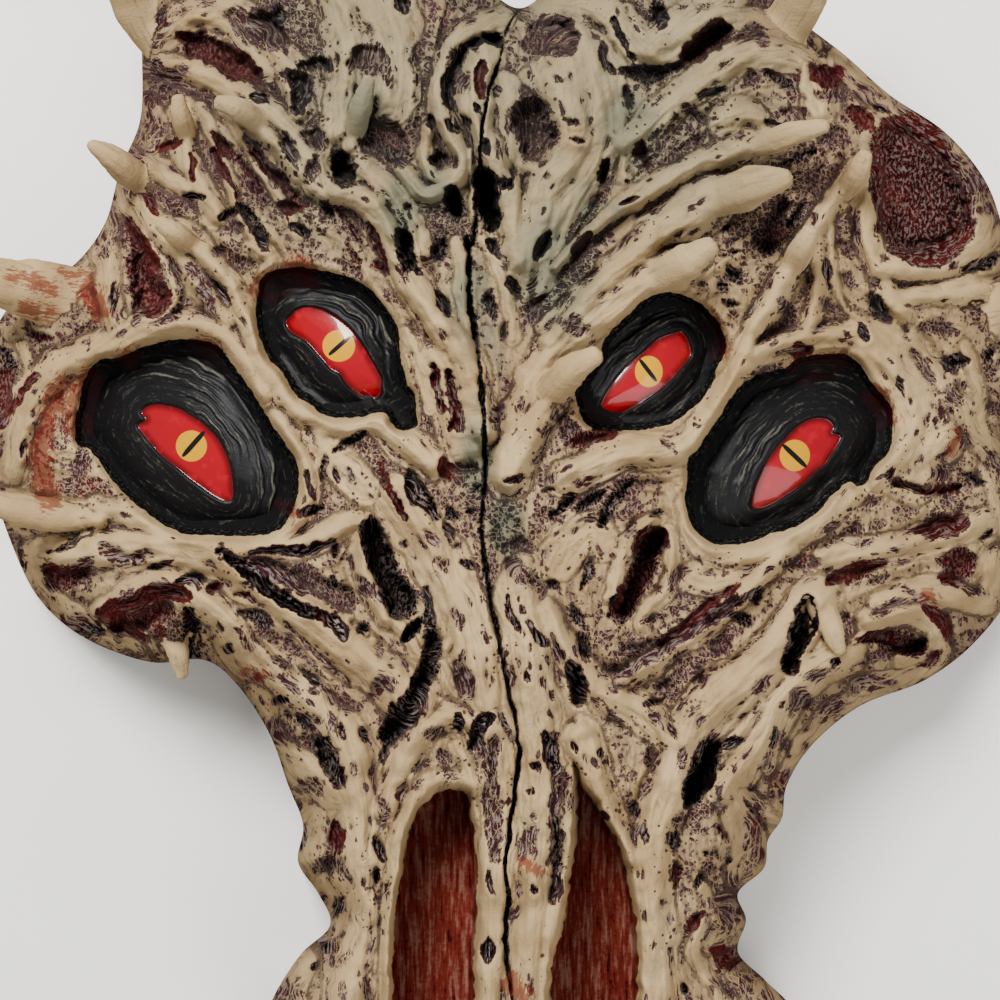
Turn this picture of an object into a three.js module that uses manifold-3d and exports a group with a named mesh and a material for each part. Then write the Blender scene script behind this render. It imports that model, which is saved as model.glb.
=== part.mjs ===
// A demon mask, cast as one hollow shell and lying on its back rim with the face up.
// Millimetres, +Z out of the face, +Y towards the crown, origin under the middle of the mask.
//
// The plan of the face is drawn in sheet units: x runs right and y runs down, with the
// sheet's middle at (500, 500). A unit is SHEET_MM on a surface at MID_HEIGHT. The sheet is a
// view from EYE_HEIGHT above the rim, so lower parts spread out a little and higher parts draw in.

import * as THREE from "three";
import { mergeVertices, toCreasedNormals } from "three/addons/utils/BufferGeometryUtils.js";
import Module from "manifold-3d";

// Driving dimensions, in millimetres.
const SHEET_MM = 0.27;
const EYE_HEIGHT = 700;
const MID_HEIGHT = 60;
const FACE_HEIGHT = 84;
const NOSE_RISE = 9;
const SHOULDER = 20;
const WALL = 5;
const PAD_REACH = 8.5;
const RIM = 5.5;
const ORIGIN_X = 4.3;
const ORIGIN_Y = -23.2;

// How finely each surface is divided, across and along.
const OUTSIDE_GRID = [52, 60];
const INSIDE_GRID = [26, 32];
const SPINE_RINGS = 3;
const SPINE_SIDES = 6;
const PATH_STEP = 8;
const CREST_PULL = 0.45;

// The rim's outline in sheet units, as four sides that meet at the corners.
const OUTLINE = {
  chin: [[350, 1160], [430, 1215], [515, 1235], [610, 1215], [690, 1160]],
  left: [
    [350, 1160], [285, 1100], [262, 1040], [272, 1000], [300, 955], [330, 925], [318, 893],
    [298, 862], [303, 825], [288, 785], [270, 735], [240, 688], [205, 660], [150, 662],
    [85, 638], [40, 600], [12, 545], [-8, 480], [-15, 410], [-12, 350], [15, 300], [70, 268],
    [104, 225], [120, 170], [140, 120], [142, 60], [140, 5], [165, -40], [215, -70],
  ],
  crown: [
    [215, -70], [290, -78], [370, -70], [440, -45], [490, -8], [520, 8], [550, -10], [600, -42],
    [660, -55], [720, -40],
  ],
  right: [
    [690, 1160], [770, 1105], [805, 1055], [795, 1012], [765, 980], [738, 952], [746, 920],
    [738, 893], [764, 868], [768, 840], [782, 818], [787, 785], [812, 745], [860, 706],
    [925, 680], [975, 642], [1012, 590], [1025, 520], [1008, 447], [1025, 380], [1022, 300],
    [1005, 235], [985, 180], [945, 132], [890, 95], [845, 55], [800, 20], [765, -15], [720, -40],
  ],
};

// Bony struts that stand on the face: [half width at the start, at the end, height in mm, path].
const STRUTS = {
  leftBrowHook: [11, 15, 9, [[338, 192], [372, 205], [412, 282], [462, 360], [482, 430]]],
  leftBrowFoot: [16, 22, 8, [[440, 360], [455, 400], [465, 440]]],
  leftInnerCrest: [12, 10, 8, [[232, 106], [280, 145], [322, 192], [345, 190]]],
  leftMiddleCrest: [11, 10, 7, [[181, 110], [188, 160], [215, 215]]],
  leftSpikeArm: [14, 10, 8, [[112, 158], [140, 205], [185, 262], [225, 320]]],
  leftSpikePost: [11, 10, 7, [[104, 185], [105, 260], [116, 335]]],
  leftSpikeShelf: [12, 9, 6, [[125, 158], [170, 180], [205, 195]]],
  leftKnobRidge: [12, 11, 8, [[180, 235], [228, 285], [255, 345]]],
  leftEyeBridge: [12, 15, 8, [[255, 345], [290, 398], [335, 425], [372, 418], [402, 442], [432, 462]]],
  leftRingTop: [11, 13, 8, [[262, 392], [222, 335], [160, 325], [105, 345], [60, 367]]],
  leftRingSide: [15, 12, 8, [[60, 367], [25, 405], [12, 470]]],
  leftRingBottom: [11, 11, 7, [[96, 508], [165, 530], [230, 545], [290, 528], [306, 480], [280, 425]]],
  leftCheekHorn: [17, 15, 9, [[-5, 508], [45, 515], [95, 522]]],
  leftCheekBand: [15, 21, 9, [[40, 555], [130, 545], [215, 556], [290, 602], [345, 645], [412, 700]]],
  leftCheekStrut: [13, 15, 8, [[105, 612], [165, 585], [215, 612], [255, 665], [315, 705], [340, 745]]],
  leftCheekEdge: [11, 10, 6, [[25, 560], [60, 610], [120, 640]]],
  leftJawRoot: [15, 13, 8, [[258, 700], [275, 750], [320, 782], [342, 800]]],
  leftJawColumn: [20, 20, 9, [[342, 730], [353, 800], [354, 900], [346, 1000], [350, 1090], [400, 1150]]],
  leftSlotArch: [12, 11, 7, [[482, 722], [440, 718], [405, 760], [385, 810]]],
  leftSlotLip: [8, 9, 6, [[474, 785], [440, 778], [412, 805], [396, 860], [390, 940], [390, 1080]]],
  leftNoseFlank: [20, 17, 7, [[402, 500], [440, 560], [468, 625], [482, 700]]],
  leftNosePlate: [10, 9, 7, [[240, 548], [300, 545], [362, 520], [364, 570], [385, 618]]],
  leftCentreStrip: [15, 14, 7, [[488, 720], [498, 800], [496, 900], [488, 1000], [490, 1110]]],
  rightCentreStrip: [18, 18, 8, [[522, 575], [532, 680], [540, 780], [534, 900], [526, 1000], [528, 1110]]],
  rightNoseWeb: [12, 14, 7, [[545, 612], [590, 680], [640, 712], [675, 745]]],
  rightSlotLip: [15, 12, 8, [[580, 735], [600, 790], [615, 825], [632, 860]]],
  rightSlotInner: [8, 8, 6, [[572, 775], [566, 850], [552, 940], [542, 1040]]],
  rightJawColumn: [20, 20, 9, [[672, 780], [652, 850], [650, 1000], [648, 1090], [610, 1150]]],
  rightMainStrut: [22, 20, 10, [[815, 600], [775, 655], [705, 715], [672, 780]]],
  rightInnerStrut: [10, 10, 8, [[790, 550], [735, 600], [670, 650], [622, 684]]],
  rightOuterStrut: [14, 14, 8, [[850, 655], [790, 690], [762, 745], [724, 790]]],
  rightContour: [13, 12, 7, [[905, 690], [840, 715], [800, 760], [782, 805]]],
  rightCurl: [12, 11, 9, [[868, 620], [920, 614], [938, 648], [910, 680], [862, 692]]],
  rightCheekPlate: [12, 12, 6, [[825, 558], [890, 548], [985, 522]]],
  rightCheekEdge: [11, 11, 6, [[995, 560], [985, 600], [930, 592], [880, 605]]],
  rightRingBottom: [11, 12, 7, [[690, 505], [705, 545], [775, 550], [850, 492]]],
  rightRingSide: [15, 14, 8, [[862, 335], [905, 385], [914, 430], [880, 476]]],
  rightRingTop: [10, 11, 7, [[735, 375], [765, 348], [815, 335], [862, 332]]],
  rightEyeBridge: [12, 16, 8, [[735, 372], [712, 415], [675, 450], [620, 455], [570, 478]]],
  rightLowSpikeLeg: [12, 10, 9, [[806, 245], [770, 305], [735, 368]]],
  rightLowSpikeRib: [10, 9, 7, [[814, 245], [818, 285], [808, 330]]],
  rightHighSpikeLeg: [10, 9, 7, [[856, 172], [825, 215], [812, 238]]],
  rightHighSpikePost: [11, 11, 7, [[869, 175], [868, 245], [900, 310]]],
  rightSmallFinger: [18, 16, 10, [[508, 475], [525, 430], [560, 382]]],
  rightLowFinger: [14, 20, 10, [[515, 420], [560, 345], [620, 298], [680, 264]]],
  rightMiddleFinger: [14, 22, 10, [[590, 300], [650, 240], [710, 198]]],
  rightHighFinger: [10, 13, 8, [[610, 215], [690, 168], [770, 140]]],
  rightCrownBand: [13, 14, 7, [[625, 145], [690, 90], [760, 52], [815, 62], [822, 108]]],
  rightBowlRim: [14, 14, 8, [[840, 62], [905, 112], [965, 160], [985, 225], [940, 266], [880, 268]]],
  rightSideBand: [12, 14, 6, [[890, 300], [950, 290], [1015, 290]]],
  rightTempleBand: [11, 11, 5, [[905, 340], [945, 385], [975, 430], [1010, 480]]],
  crownLeftBand: [12, 13, 7, [[150, 62], [225, 85], [285, 125], [325, 190]]],
  crownLeftEdge: [13, 13, 7, [[150, 45], [215, 5], [285, 60], [300, 110]]],
  crownLeftFlow: [16, 13, 7, [[335, -20], [345, 60], [335, 130]]],
  crownLoop: [10, 9, 8, [[505, 18], [455, 42], [440, 105], [462, 165], [425, 195], [402, 170]]],
  crownCentreFinger: [17, 12, 10, [[485, 58], [478, 115], [505, 190], [520, 260]]],
  crownRightDome: [20, 16, 8, [[560, 78], [575, 140], [540, 195], [525, 260]]],
  crownRightFlow: [16, 16, 8, [[530, -2], [600, 5], [640, 45], [680, 30], [740, -5]]],
  foreheadSlab: [13, 12, 7, [[365, 170], [395, 205], [418, 255]]],
};

// Grooves, pits and channels: [half width at the start, at the end, depth in mm, path].
const HOLLOWS = {
  centreCrack: [7, 6, 12, [[476, 235], [486, 420], [492, 520], [506, 680], [514, 780], [511, 1130]]],
  crownPit: [15, 12, 18, [[484, 180], [490, 215]]],
  foreheadLeftPit: [9, 9, 10, [[402, 240], [408, 265]]],
  browLeftPit: [11, 9, 9, [[340, 160], [345, 180]]],
  leftNostril: [13, 17, 14, [[372, 528], [384, 565], [402, 605]]],
  rightNostril: [16, 13, 13, [[652, 540], [640, 572], [622, 612]]],
  leftMouthPit: [12, 12, 9, [[432, 640], [425, 680], [390, 735]]],
  rightMouthPit: [9, 9, 8, [[576, 670], [580, 700]]],
  leftSlot: [18, 42, 34, [[448, 812], [440, 850], [434, 920], [432, 1000], [434, 1085]]],
  rightSlot: [10, 44, 34, [[580, 800], [592, 850], [600, 920], [597, 1000], [592, 1085]]],
  rightJawGap: [14, 10, 12, [[712, 752], [690, 795]]],
  leftJawGap: [12, 9, 10, [[322, 745], [338, 780]]],
  leftFangGap: [9, 9, 12, [[190, 618], [196, 652]]],
  rightFangGap: [11, 9, 13, [[808, 610], [790, 665]]],
  leftPlatePit: [11, 14, 6, [[255, 566], [305, 580], [345, 600]]],
  rightBowl: [34, 42, 15, [[905, 165], [915, 222]]],
  rightCurlPit: [12, 12, 9, [[885, 640], [915, 645]]],
  rightCheekPit: [15, 13, 6, [[935, 528], [955, 522]]],
  rightEdgePit: [15, 12, 6, [[955, 575], [965, 560]]],
  leftSpikeCup: [16, 20, 9, [[140, 262], [150, 300]]],
  rightSpikeCup: [12, 14, 7, [[785, 205], [765, 240]]],
  leftSideCup: [13, 12, 6, [[5, 375], [-2, 420]]],
  leftCheekCup: [16, 14, 8, [[120, 622], [165, 612]]],
  leftSmallCup: [14, 11, 5, [[58, 580], [85, 572]]],
  crownLeftCup: [14, 14, 8, [[195, 45], [240, 68]]],
  crownGreyCup: [16, 16, 7, [[262, 22], [275, 35]]],
  crownRightCup: [24, 20, 8, [[530, 120], [540, 135]]],
  crownTopCup: [20, 20, 8, [[545, 35], [560, 36]]],
  crownRedCup: [12, 14, 9, [[692, 55], [718, 32]]],
};

// Eye sockets: middle, half length, half width, the tilt of the long axis in degrees.
const SOCKETS = {
  leftOuter: { x: 188, y: 440, long: 118, short: 84, tilt: 32 },
  leftInner: { x: 338, y: 352, long: 92, short: 62, tilt: 47 },
  rightInner: { x: 648, y: 362, long: 88, short: 60, tilt: -42 },
  rightOuter: { x: 790, y: 462, long: 116, short: 74, tilt: -38 },
};
const SOCKET_DEPTH = 15;
const EYEBALL_RISE = 10;
const EYEBALL_SHARE = 0.72;

// Free ends that stand off the face: [radii along it in sheet units, path with a lift in mm
// above the surface at its root].
const SPINES = {
  leftSpike: [[20, 15, 4], [[150, 188, -4], [118, 162, 4], [88, 143, 9]]],
  leftInnerTip: [[14, 12, 6], [[268, 130, -3], [240, 110, 4], [215, 101, 7]]],
  leftMiddleTip: [[13, 10, 5], [[188, 142, -3], [181, 115, 4], [178, 95, 7]]],
  leftKnobTip: [[13, 11, 6], [[196, 248, -2], [174, 232, 4], [157, 221, 6]]],
  leftCheekTip: [[18, 17, 5], [[92, 522, -4], [20, 510, 0], [-42, 490, 3]]],
  leftEarHorn: [[38, 32, 10], [[120, 300, -16], [30, 290, -14], [-62, 262, 0]]],
  leftFang: [[20, 13, 5], [[160, 612, -5], [176, 646, -6], [182, 679, -8]]],
  leftTopHorn: [[30, 24, 5], [[170, 60, -22], [128, -20, -14], [112, -135, 12]]],
  rightTopHorn: [[30, 25, 5], [[765, 50, -20], [805, -10, -14], [826, -130, 12]]],
  rightLowTip: [[20, 17, 7], [[645, 286, -2], [688, 261, 4], [716, 243, 6]]],
  rightMiddleTip: [[22, 20, 7], [[700, 204, -2], [750, 187, 4], [792, 177, 7]]],
  rightHighTip: [[13, 12, 6], [[745, 150, -2], [790, 134, 4], [829, 126, 6]]],
  rightSmallTip: [[20, 16, 7], [[540, 405, -1], [570, 372, 4], [601, 353, 6]]],
  rightHighSpike: [[16, 12, 6], [[842, 196, -3], [858, 172, 6], [866, 152, 10]]],
  rightLowSpike: [[16, 12, 6], [[790, 272, -3], [804, 246, 5], [812, 227, 8]]],
  rightFang: [[20, 13, 5], [[815, 590, -4], [830, 625, -2], [841, 654, -3]]],
  rightEarHorn: [[36, 28, 9], [[955, 318, -14], [1018, 305, -10], [1080, 282, 2]]],
  crownTooth: [[13, 11, 5], [[350, 142, -2], [361, 106, 5], [370, 76, 8]]],
};

const curveOf = (points) => new THREE.SplineCurve(points.map(([x, y]) => new THREE.Vector2(x, y)));

// Points at equal steps along a smooth curve through the given ones.
function evenPoints(points, count) {
  const fine = curveOf(points).getPoints(points.length * 12);
  const steps = new THREE.CurvePath();
  fine.slice(1).forEach((p, i) => steps.add(new THREE.LineCurve(fine[i], p)));
  return Array.from({ length: count + 1 }, (_, i) => steps.getPointAt(i / count));
}

// The spot of a path nearest to (x, y), how far it is, and its share of the way along.
function nearestOn(path, x, y) {
  let best = { away: Infinity };
  for (let i = 0; i + 1 < path.length; i++) {
    const a = path[i];
    const dx = path[i + 1].x - a.x;
    const dy = path[i + 1].y - a.y;
    const share = ((x - a.x) * dx + (y - a.y) * dy) / (dx * dx + dy * dy);
    const t = THREE.MathUtils.clamp(share, 0, 1);
    const spot = new THREE.Vector2(a.x + t * dx, a.y + t * dy);
    const away = Math.hypot(x - spot.x, y - spot.y);
    if (away < best.away) best = { away, spot, along: (i + t) / (path.length - 1) };
  }
  return best;
}

function carvings(lists) {
  return Object.values(lists).map(([start, end, size, points]) => {
    const steps = Math.max(2, Math.round(curveOf(points).getLength() / PATH_STEP));
    return { start, end, size, path: curveOf(points).getPoints(steps) };
  });
}

const struts = carvings(STRUTS);
const hollows = carvings(HOLLOWS);
const rimPath = [
  ...evenPoints(OUTLINE.left, 70),
  ...evenPoints(OUTLINE.crown, 24),
  ...evenPoints(OUTLINE.right, 70).reverse(),
  ...evenPoints(OUTLINE.chin, 16).reverse(),
].filter((p, i, all) => i === 0 || p.distanceTo(all[i - 1]) > 1e-6);

// The face before it is carved, in millimetres above the rim's plane: highest along the nose
// and lower to the sides, crown and chin.
function faceForm(x, y) {
  const off = Math.abs(x - 498);
  const across = 1 - (off / 620) ** 2.2;
  const crownFall = 1 - 0.3 * (Math.max(0, 120 - y) / 200) ** 1.5;
  const chinFall = 1 - 0.3 * (Math.max(0, y - 900) / 330) ** 2;
  const nose = NOSE_RISE * Math.exp(-((off / 110) ** 2) - ((y - 640) / 210) ** 2);
  return FACE_HEIGHT * across * crownFall * chinFall + nose;
}

// How far a carving reaches at (x, y): its size at its middle line, and less to the sides.
function reachOf(feature, x, y, flatness) {
  const { away, along } = nearestOn(feature.path, x, y);
  const share = away / THREE.MathUtils.lerp(feature.start, feature.end, along);
  return feature.size * Math.exp(-(share ** flatness));
}

function socketDepth(x, y) {
  let depth = 0;
  for (const { x: cx, y: cy, long, short, tilt } of Object.values(SOCKETS)) {
    const turn = THREE.MathUtils.degToRad(tilt);
    const u = ((x - cx) * Math.cos(turn) + (y - cy) * Math.sin(turn)) / long;
    const v = ((y - cy) * Math.cos(turn) - (x - cx) * Math.sin(turn)) / short;
    const away = Math.hypot(u, v);
    const bowl = 1 - THREE.MathUtils.smoothstep(away, 0.72, 1.08);
    const ball = Math.sqrt(Math.max(0, 1 - (away / EYEBALL_SHARE) ** 2));
    depth = Math.max(depth, SOCKET_DEPTH * bowl - EYEBALL_RISE * ball);
  }
  return depth;
}

// The height of the outside at a point of the sheet, in millimetres above the rim's plane.
function outsideHeight(x, y) {
  const edge = nearestOn(rimPath, x, y).away * SHEET_MM;
  const shoulder = (1 - (1 - Math.min(edge / SHOULDER, 1)) ** 2.4) ** (1 / 2.4);
  const raised = Math.cbrt(struts.reduce((sum, s) => sum + reachOf(s, x, y, 2.5) ** 3, 0));
  const cut = Math.max(...hollows.map((h) => reachOf(h, x, y, 4)));
  const carving = (raised - cut - socketDepth(x, y)) * Math.min(edge / 6, 1);
  return Math.max(0, (faceForm(x, y) * shoulder + carving) * Math.min(1, edge));
}

// The inside lies under the outside by a rounded pad, a wall thick in the middle: under each
// point the lowest spot that the pad may touch counts.
function insideHeight(x, y) {
  let lowest = outsideHeight(x, y) - WALL;
  for (const share of [0.35, 0.7, 1]) {
    const drop = WALL * Math.sqrt(1 - share ** 2);
    for (let i = 0; i < 12; i++) {
      const a = (i / 12) * 2 * Math.PI;
      const dx = (share * PAD_REACH * Math.cos(a)) / SHEET_MM;
      const dy = (share * PAD_REACH * Math.sin(a)) / SHEET_MM;
      lowest = Math.min(lowest, outsideHeight(x + dx, y + dy) - drop);
    }
  }
  return lowest;
}

// Sheet units and a height to the part's own frame.
function place(x, y, z) {
  const spread = (SHEET_MM * (EYE_HEIGHT - z)) / (EYE_HEIGHT - MID_HEIGHT);
  return new THREE.Vector3((x - 500) * spread - ORIGIN_X, (500 - y) * spread - ORIGIN_Y, z);
}

const wasm = await Module();
wasm.setup();

function solidFrom(points, triangles) {
  const loose = new THREE.BufferGeometry().setFromPoints(points);
  loose.setIndex(triangles);
  const merged = mergeVertices(loose, 1e-3);
  return new wasm.Manifold(
    new wasm.Mesh({
      numProp: 3,
      vertProperties: merged.attributes.position.array,
      triVerts: new Uint32Array(merged.index.array),
    }),
  );
}

// The plan of a face: a patch between four sides. Points near the middle line of a carving
// move onto it, so that crests and grooves run unbroken.
function planGrid(sides, [across, along], lines) {
  const bottom = evenPoints(sides.chin, across);
  const top = evenPoints(sides.crown, across);
  const left = evenPoints(sides.left, along);
  const right = evenPoints(sides.right, along);
  const blend = (i, j) => {
    const u = i / across;
    const v = j / along;
    const spot = (key) =>
      (1 - v) * bottom[i][key] + v * top[i][key] + (1 - u) * left[j][key] + u * right[j][key] -
      (1 - v) * ((1 - u) * bottom[0][key] + u * bottom[across][key]) -
      v * ((1 - u) * top[0][key] + u * top[across][key]);
    return new THREE.Vector2(spot("x"), spot("y"));
  };
  const rows = [];
  for (let j = 0; j <= along; j++) {
    const row = [];
    for (let i = 0; i <= across; i++) {
      const p = blend(i, j);
      row.push(p);
      if (i === 0 || j === 0 || i === across || j === along) continue;
      const cell = Math.min(p.distanceTo(blend(i + 1, j)), p.distanceTo(blend(i, j + 1)));
      const spots = lines.map((line) => nearestOn(line.path, p.x, p.y));
      const near = spots.reduce((a, b) => (b.away < a.away ? b : a), { away: Infinity });
      if (near.away < CREST_PULL * cell) p.copy(near.spot);
    }
    rows.push(row);
  }
  return rows;
}

// A closed solid under a surface whose height is a function of its plan, flat below at floor.
// Each cell is split along the diagonal that lies closer to the surface.
function domeSolid(rows, heightAt, floor) {
  const along = rows.length - 1;
  const across = rows[0].length - 1;
  const at = (i, j) => j * (across + 1) + i;
  const points = [];
  rows.forEach((row, j) => {
    row.forEach(({ x, y }, i) => {
      const onBorder = i === 0 || j === 0 || i === across || j === along;
      points.push(place(x, y, onBorder ? floor : Math.max(floor + 0.5, heightAt(x, y))));
    });
  });
  const triangles = [];
  for (let j = 0; j < along; j++) {
    for (let i = 0; i < across; i++) {
      const [a, b, c, d] = [at(i, j), at(i + 1, j), at(i + 1, j + 1), at(i, j + 1)];
      const middle = rows[j][i].clone().add(rows[j][i + 1]).add(rows[j + 1][i + 1]).add(rows[j + 1][i]);
      const wanted = heightAt(middle.x / 4, middle.y / 4);
      const misses = [[a, c], [b, d]].map(([p, q]) =>
        Math.abs((points[p].z + points[q].z) / 2 - wanted),
      );
      triangles.push(...(misses[0] < misses[1] ? [a, b, c, a, c, d] : [a, b, d, b, c, d]));
    }
  }
  const border = [];
  for (let i = 0; i < across; i++) border.push(at(i, 0));
  for (let j = 0; j < along; j++) border.push(at(across, j));
  for (let i = across; i > 0; i--) border.push(at(i, along));
  for (let j = along; j > 0; j--) border.push(at(0, j));
  const flat = border.map((k) => new THREE.Vector2(points[k].x, points[k].y));
  for (const [a, b, c] of THREE.ShapeUtils.triangulateShape(flat, [])) {
    triangles.push(border[c], border[b], border[a]);
  }
  return solidFrom(points, triangles);
}

function insideOutline(p) {
  let inside = false;
  rimPath.forEach((a, i) => {
    const b = rimPath[(i + 1) % rimPath.length];
    if (a.y > p.y === b.y > p.y) return;
    if (p.x < a.x + ((p.y - a.y) * (b.x - a.x)) / (b.y - a.y)) inside = !inside;
  });
  return inside;
}

// The rim's sides moved in by the rim's width: each point goes where the rim is farthest away.
function insetSides() {
  const reach = RIM / SHEET_MM;
  const inward = (p) => {
    let best = { away: -1 };
    for (let k = 0; k < 24; k++) {
      const a = (k / 24) * 2 * Math.PI;
      const q = new THREE.Vector2(p.x + reach * Math.cos(a), p.y + reach * Math.sin(a));
      const { away } = nearestOn(rimPath, q.x, q.y);
      if (away > best.away && insideOutline(q)) best = { away, q };
    }
    return [best.q.x, best.q.y];
  };
  return Object.fromEntries(
    Object.entries(OUTLINE).map(([name, side]) => [name, evenPoints(side, 24).map(inward)]),
  );
}

// A horn with a round section that tapers to a blunt tip.
function spineSolid([radii, path]) {
  const root = outsideHeight(path[0][0], path[0][1]);
  const curve = new THREE.CatmullRomCurve3(path.map(([x, y, lift]) => place(x, y, root + lift)));
  const points = [];
  const triangles = [];
  for (let ring = 0; ring <= SPINE_RINGS; ring++) {
    const share = (ring / SPINE_RINGS) * (radii.length - 1);
    const from = Math.min(Math.floor(share), radii.length - 2);
    const radius = THREE.MathUtils.lerp(radii[from], radii[from + 1], share - from) * SHEET_MM;
    const ahead = curve.getTangent(ring / SPINE_RINGS);
    const side = new THREE.Vector3(0, 0, 1).cross(ahead).normalize();
    const up = ahead.clone().cross(side);
    for (let k = 0; k < SPINE_SIDES; k++) {
      const a = (k / SPINE_SIDES) * 2 * Math.PI;
      const p = curve.getPoint(ring / SPINE_RINGS).addScaledVector(side, radius * Math.cos(a));
      points.push(p.addScaledVector(up, radius * Math.sin(a)));
      if (ring === SPINE_RINGS) continue;
      const near = ring * SPINE_SIDES + k;
      const next = ring * SPINE_SIDES + ((k + 1) % SPINE_SIDES);
      triangles.push(near, next, next + SPINE_SIDES, near, next + SPINE_SIDES, near + SPINE_SIDES);
    }
  }
  const start = points.push(curve.getPoint(0)) - 1;
  const beyond = curve.getTangent(1).multiplyScalar(radii.at(-1) * SHEET_MM * 0.7);
  const tip = points.push(curve.getPoint(1).add(beyond)) - 1;
  const last = SPINE_RINGS * SPINE_SIDES;
  for (let k = 0; k < SPINE_SIDES; k++) {
    const next = (k + 1) % SPINE_SIDES;
    triangles.push(start, next, k, tip, last + k, last + next);
  }
  return solidFrom(points, triangles);
}

function maskShell() {
  const crests = [...struts, ...hollows];
  let shell = domeSolid(planGrid(OUTLINE, OUTSIDE_GRID, crests), outsideHeight, 0);
  for (const spine of Object.values(SPINES)) shell = shell.add(spineSolid(spine));
  return shell.subtract(domeSolid(planGrid(insetSides(), INSIDE_GRID, hollows), insideHeight, -3));
}

function geometryOf(solid) {
  const { numVert, numProp, vertProperties, triVerts } = solid.getMesh();
  const positions = new Float32Array(numVert * 3);
  for (let i = 0; i < numVert; i++) {
    positions.set(vertProperties.subarray(i * numProp, i * numProp + 3), 3 * i);
  }
  const geometry = new THREE.BufferGeometry();
  geometry.setAttribute("position", new THREE.BufferAttribute(positions, 3));
  geometry.setIndex(new THREE.BufferAttribute(triVerts, 1));
  return toCreasedNormals(geometry, THREE.MathUtils.degToRad(40));
}

const bonePaint = new THREE.MeshStandardMaterial({ color: 0xc9b591, roughness: 0.45 });
const mask = new THREE.Mesh(geometryOf(maskShell()), bonePaint);
mask.name = "demon_mask";

const part = new THREE.Group();
part.add(mask);
export default part;
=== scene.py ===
"""A demon mask, cast in one piece and painted, lying face up on the rim of its open back.

The face is drawn on a sheet: x runs right and y runs down, in units of SHEET_MM on a surface at
MID_HEIGHT. The sheet is a view from EYE_HEIGHT above the rim, so lower parts spread out a little
and higher parts draw in. A raster of the sheet holds the carved height and the places of the
paint, and each piece of the mesh reads them from it.
"""

import math

import bpy
import numpy as np
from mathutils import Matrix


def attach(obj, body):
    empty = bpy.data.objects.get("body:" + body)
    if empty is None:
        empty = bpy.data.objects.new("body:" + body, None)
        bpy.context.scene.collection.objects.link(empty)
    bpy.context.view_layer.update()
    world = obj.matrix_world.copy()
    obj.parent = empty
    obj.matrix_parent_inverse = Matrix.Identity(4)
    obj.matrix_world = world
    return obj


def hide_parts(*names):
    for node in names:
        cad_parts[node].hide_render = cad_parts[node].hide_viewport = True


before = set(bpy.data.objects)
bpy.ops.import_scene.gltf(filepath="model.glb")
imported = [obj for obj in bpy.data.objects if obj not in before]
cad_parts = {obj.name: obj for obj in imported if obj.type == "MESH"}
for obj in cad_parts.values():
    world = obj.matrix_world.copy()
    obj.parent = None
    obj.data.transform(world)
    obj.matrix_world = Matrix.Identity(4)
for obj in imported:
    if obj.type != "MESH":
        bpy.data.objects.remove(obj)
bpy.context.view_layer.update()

# The part's frame is in metres, and its origin lies this far from the sheet's middle, in mm.
MILLIMETRE = 0.001
ORIGIN_X = 4.3
ORIGIN_Y = -23.2

# The square part of the sheet that the camera sees, in sheet units, its middle, and the line
# that the nose and the highest part of the face follow.
SHEET_SIDE = 1000
SHEET_MIDDLE = 500
NOSE_X = 498

# Sizes in mm. SHEET_MM is a sheet unit's size at MID_HEIGHT.
SHEET_MM = 0.27
EYE_HEIGHT = 700
MID_HEIGHT = 60
FACE_HEIGHT = 84
NOSE_RISE = 9
GROUND_RISE = 3
SHOULDER = 20
WALL = 5
PAD_REACH = 8.5
RIM = 5.5
SOCKET_DEPTH = 12
EYEBALL_RISE = 8.5
EYEBALL_COVER = 1.2
LID_THICKNESS = 1.3
LID_FOLD = 3.3
WINDOW_DEPTH = 25
CRACK_DEPTH = 6.5

# The raster's cell in sheet units, and the number of cells across and along each surface: for
# a horn they go round it and along it, and for an eye out from its middle and round it.
STEP = 1.25
UPPER_CELLS = ((250, 332))
LOWER_CELLS = ((250, 346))
INSIDE_CELLS = (40, 52)
HORN_CELLS = (24, 40)
EYE_CELLS = ((84, 208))

# The rim's outline in sheet units. The left and right sides run from the chin to the crown, and
# a seam between the two halves of the face runs up the crack in its middle.
CHIN = [(350, 1160), (430, 1215), (515, 1235), (610, 1215), (690, 1160)]
CROWN = [
    (215, -70), (290, -78), (370, -70), (440, -45), (490, -8), (520, 8), (550, -10), (600, -42), (660, -55),
    (720, -40),
]
LEFT_SIDE = [
    (350, 1160), (285, 1100), (262, 1040), (272, 1000), (300, 955), (330, 925), (318, 893), (298, 862),
    (303, 825), (288, 785), (270, 735), (240, 688), (205, 660), (150, 662), (85, 638), (40, 600), (12, 545),
    (-8, 480), (-15, 410), (-12, 350), (15, 300), (70, 268), (104, 225), (120, 170), (140, 120), (142, 60),
    (140, 5), (165, -40), (215, -70),
]
RIGHT_SIDE = [
    (690, 1160), (770, 1105), (805, 1055), (795, 1012), (765, 980), (738, 952), (746, 920), (738, 893),
    (764, 868), (768, 840), (782, 818), (787, 785), (812, 745), (860, 706), (925, 680), (975, 642),
    (1012, 590), (1025, 520), (1008, 447), (1025, 380), (1022, 300), (1005, 235), (985, 180), (945, 132),
    (890, 95), (845, 55), (800, 20), (765, -15), (720, -40),
]
CRACK = [
    (515, 1235), (512, 1100), (512, 1000), (505, 960), (507, 920), (506, 850), (515, 790), (517, 740),
    (505, 670), (492, 600), (485, 560), (482, 520), (485, 460), (484, 400), (475, 340), (470, 300),
    (469, 260), (476, 220), (480, 180), (482, 130), (503, 45), (520, 8),
]

# Half of the crack's width, in sheet units.
CRACK_WIDTH = 2.1

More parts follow.
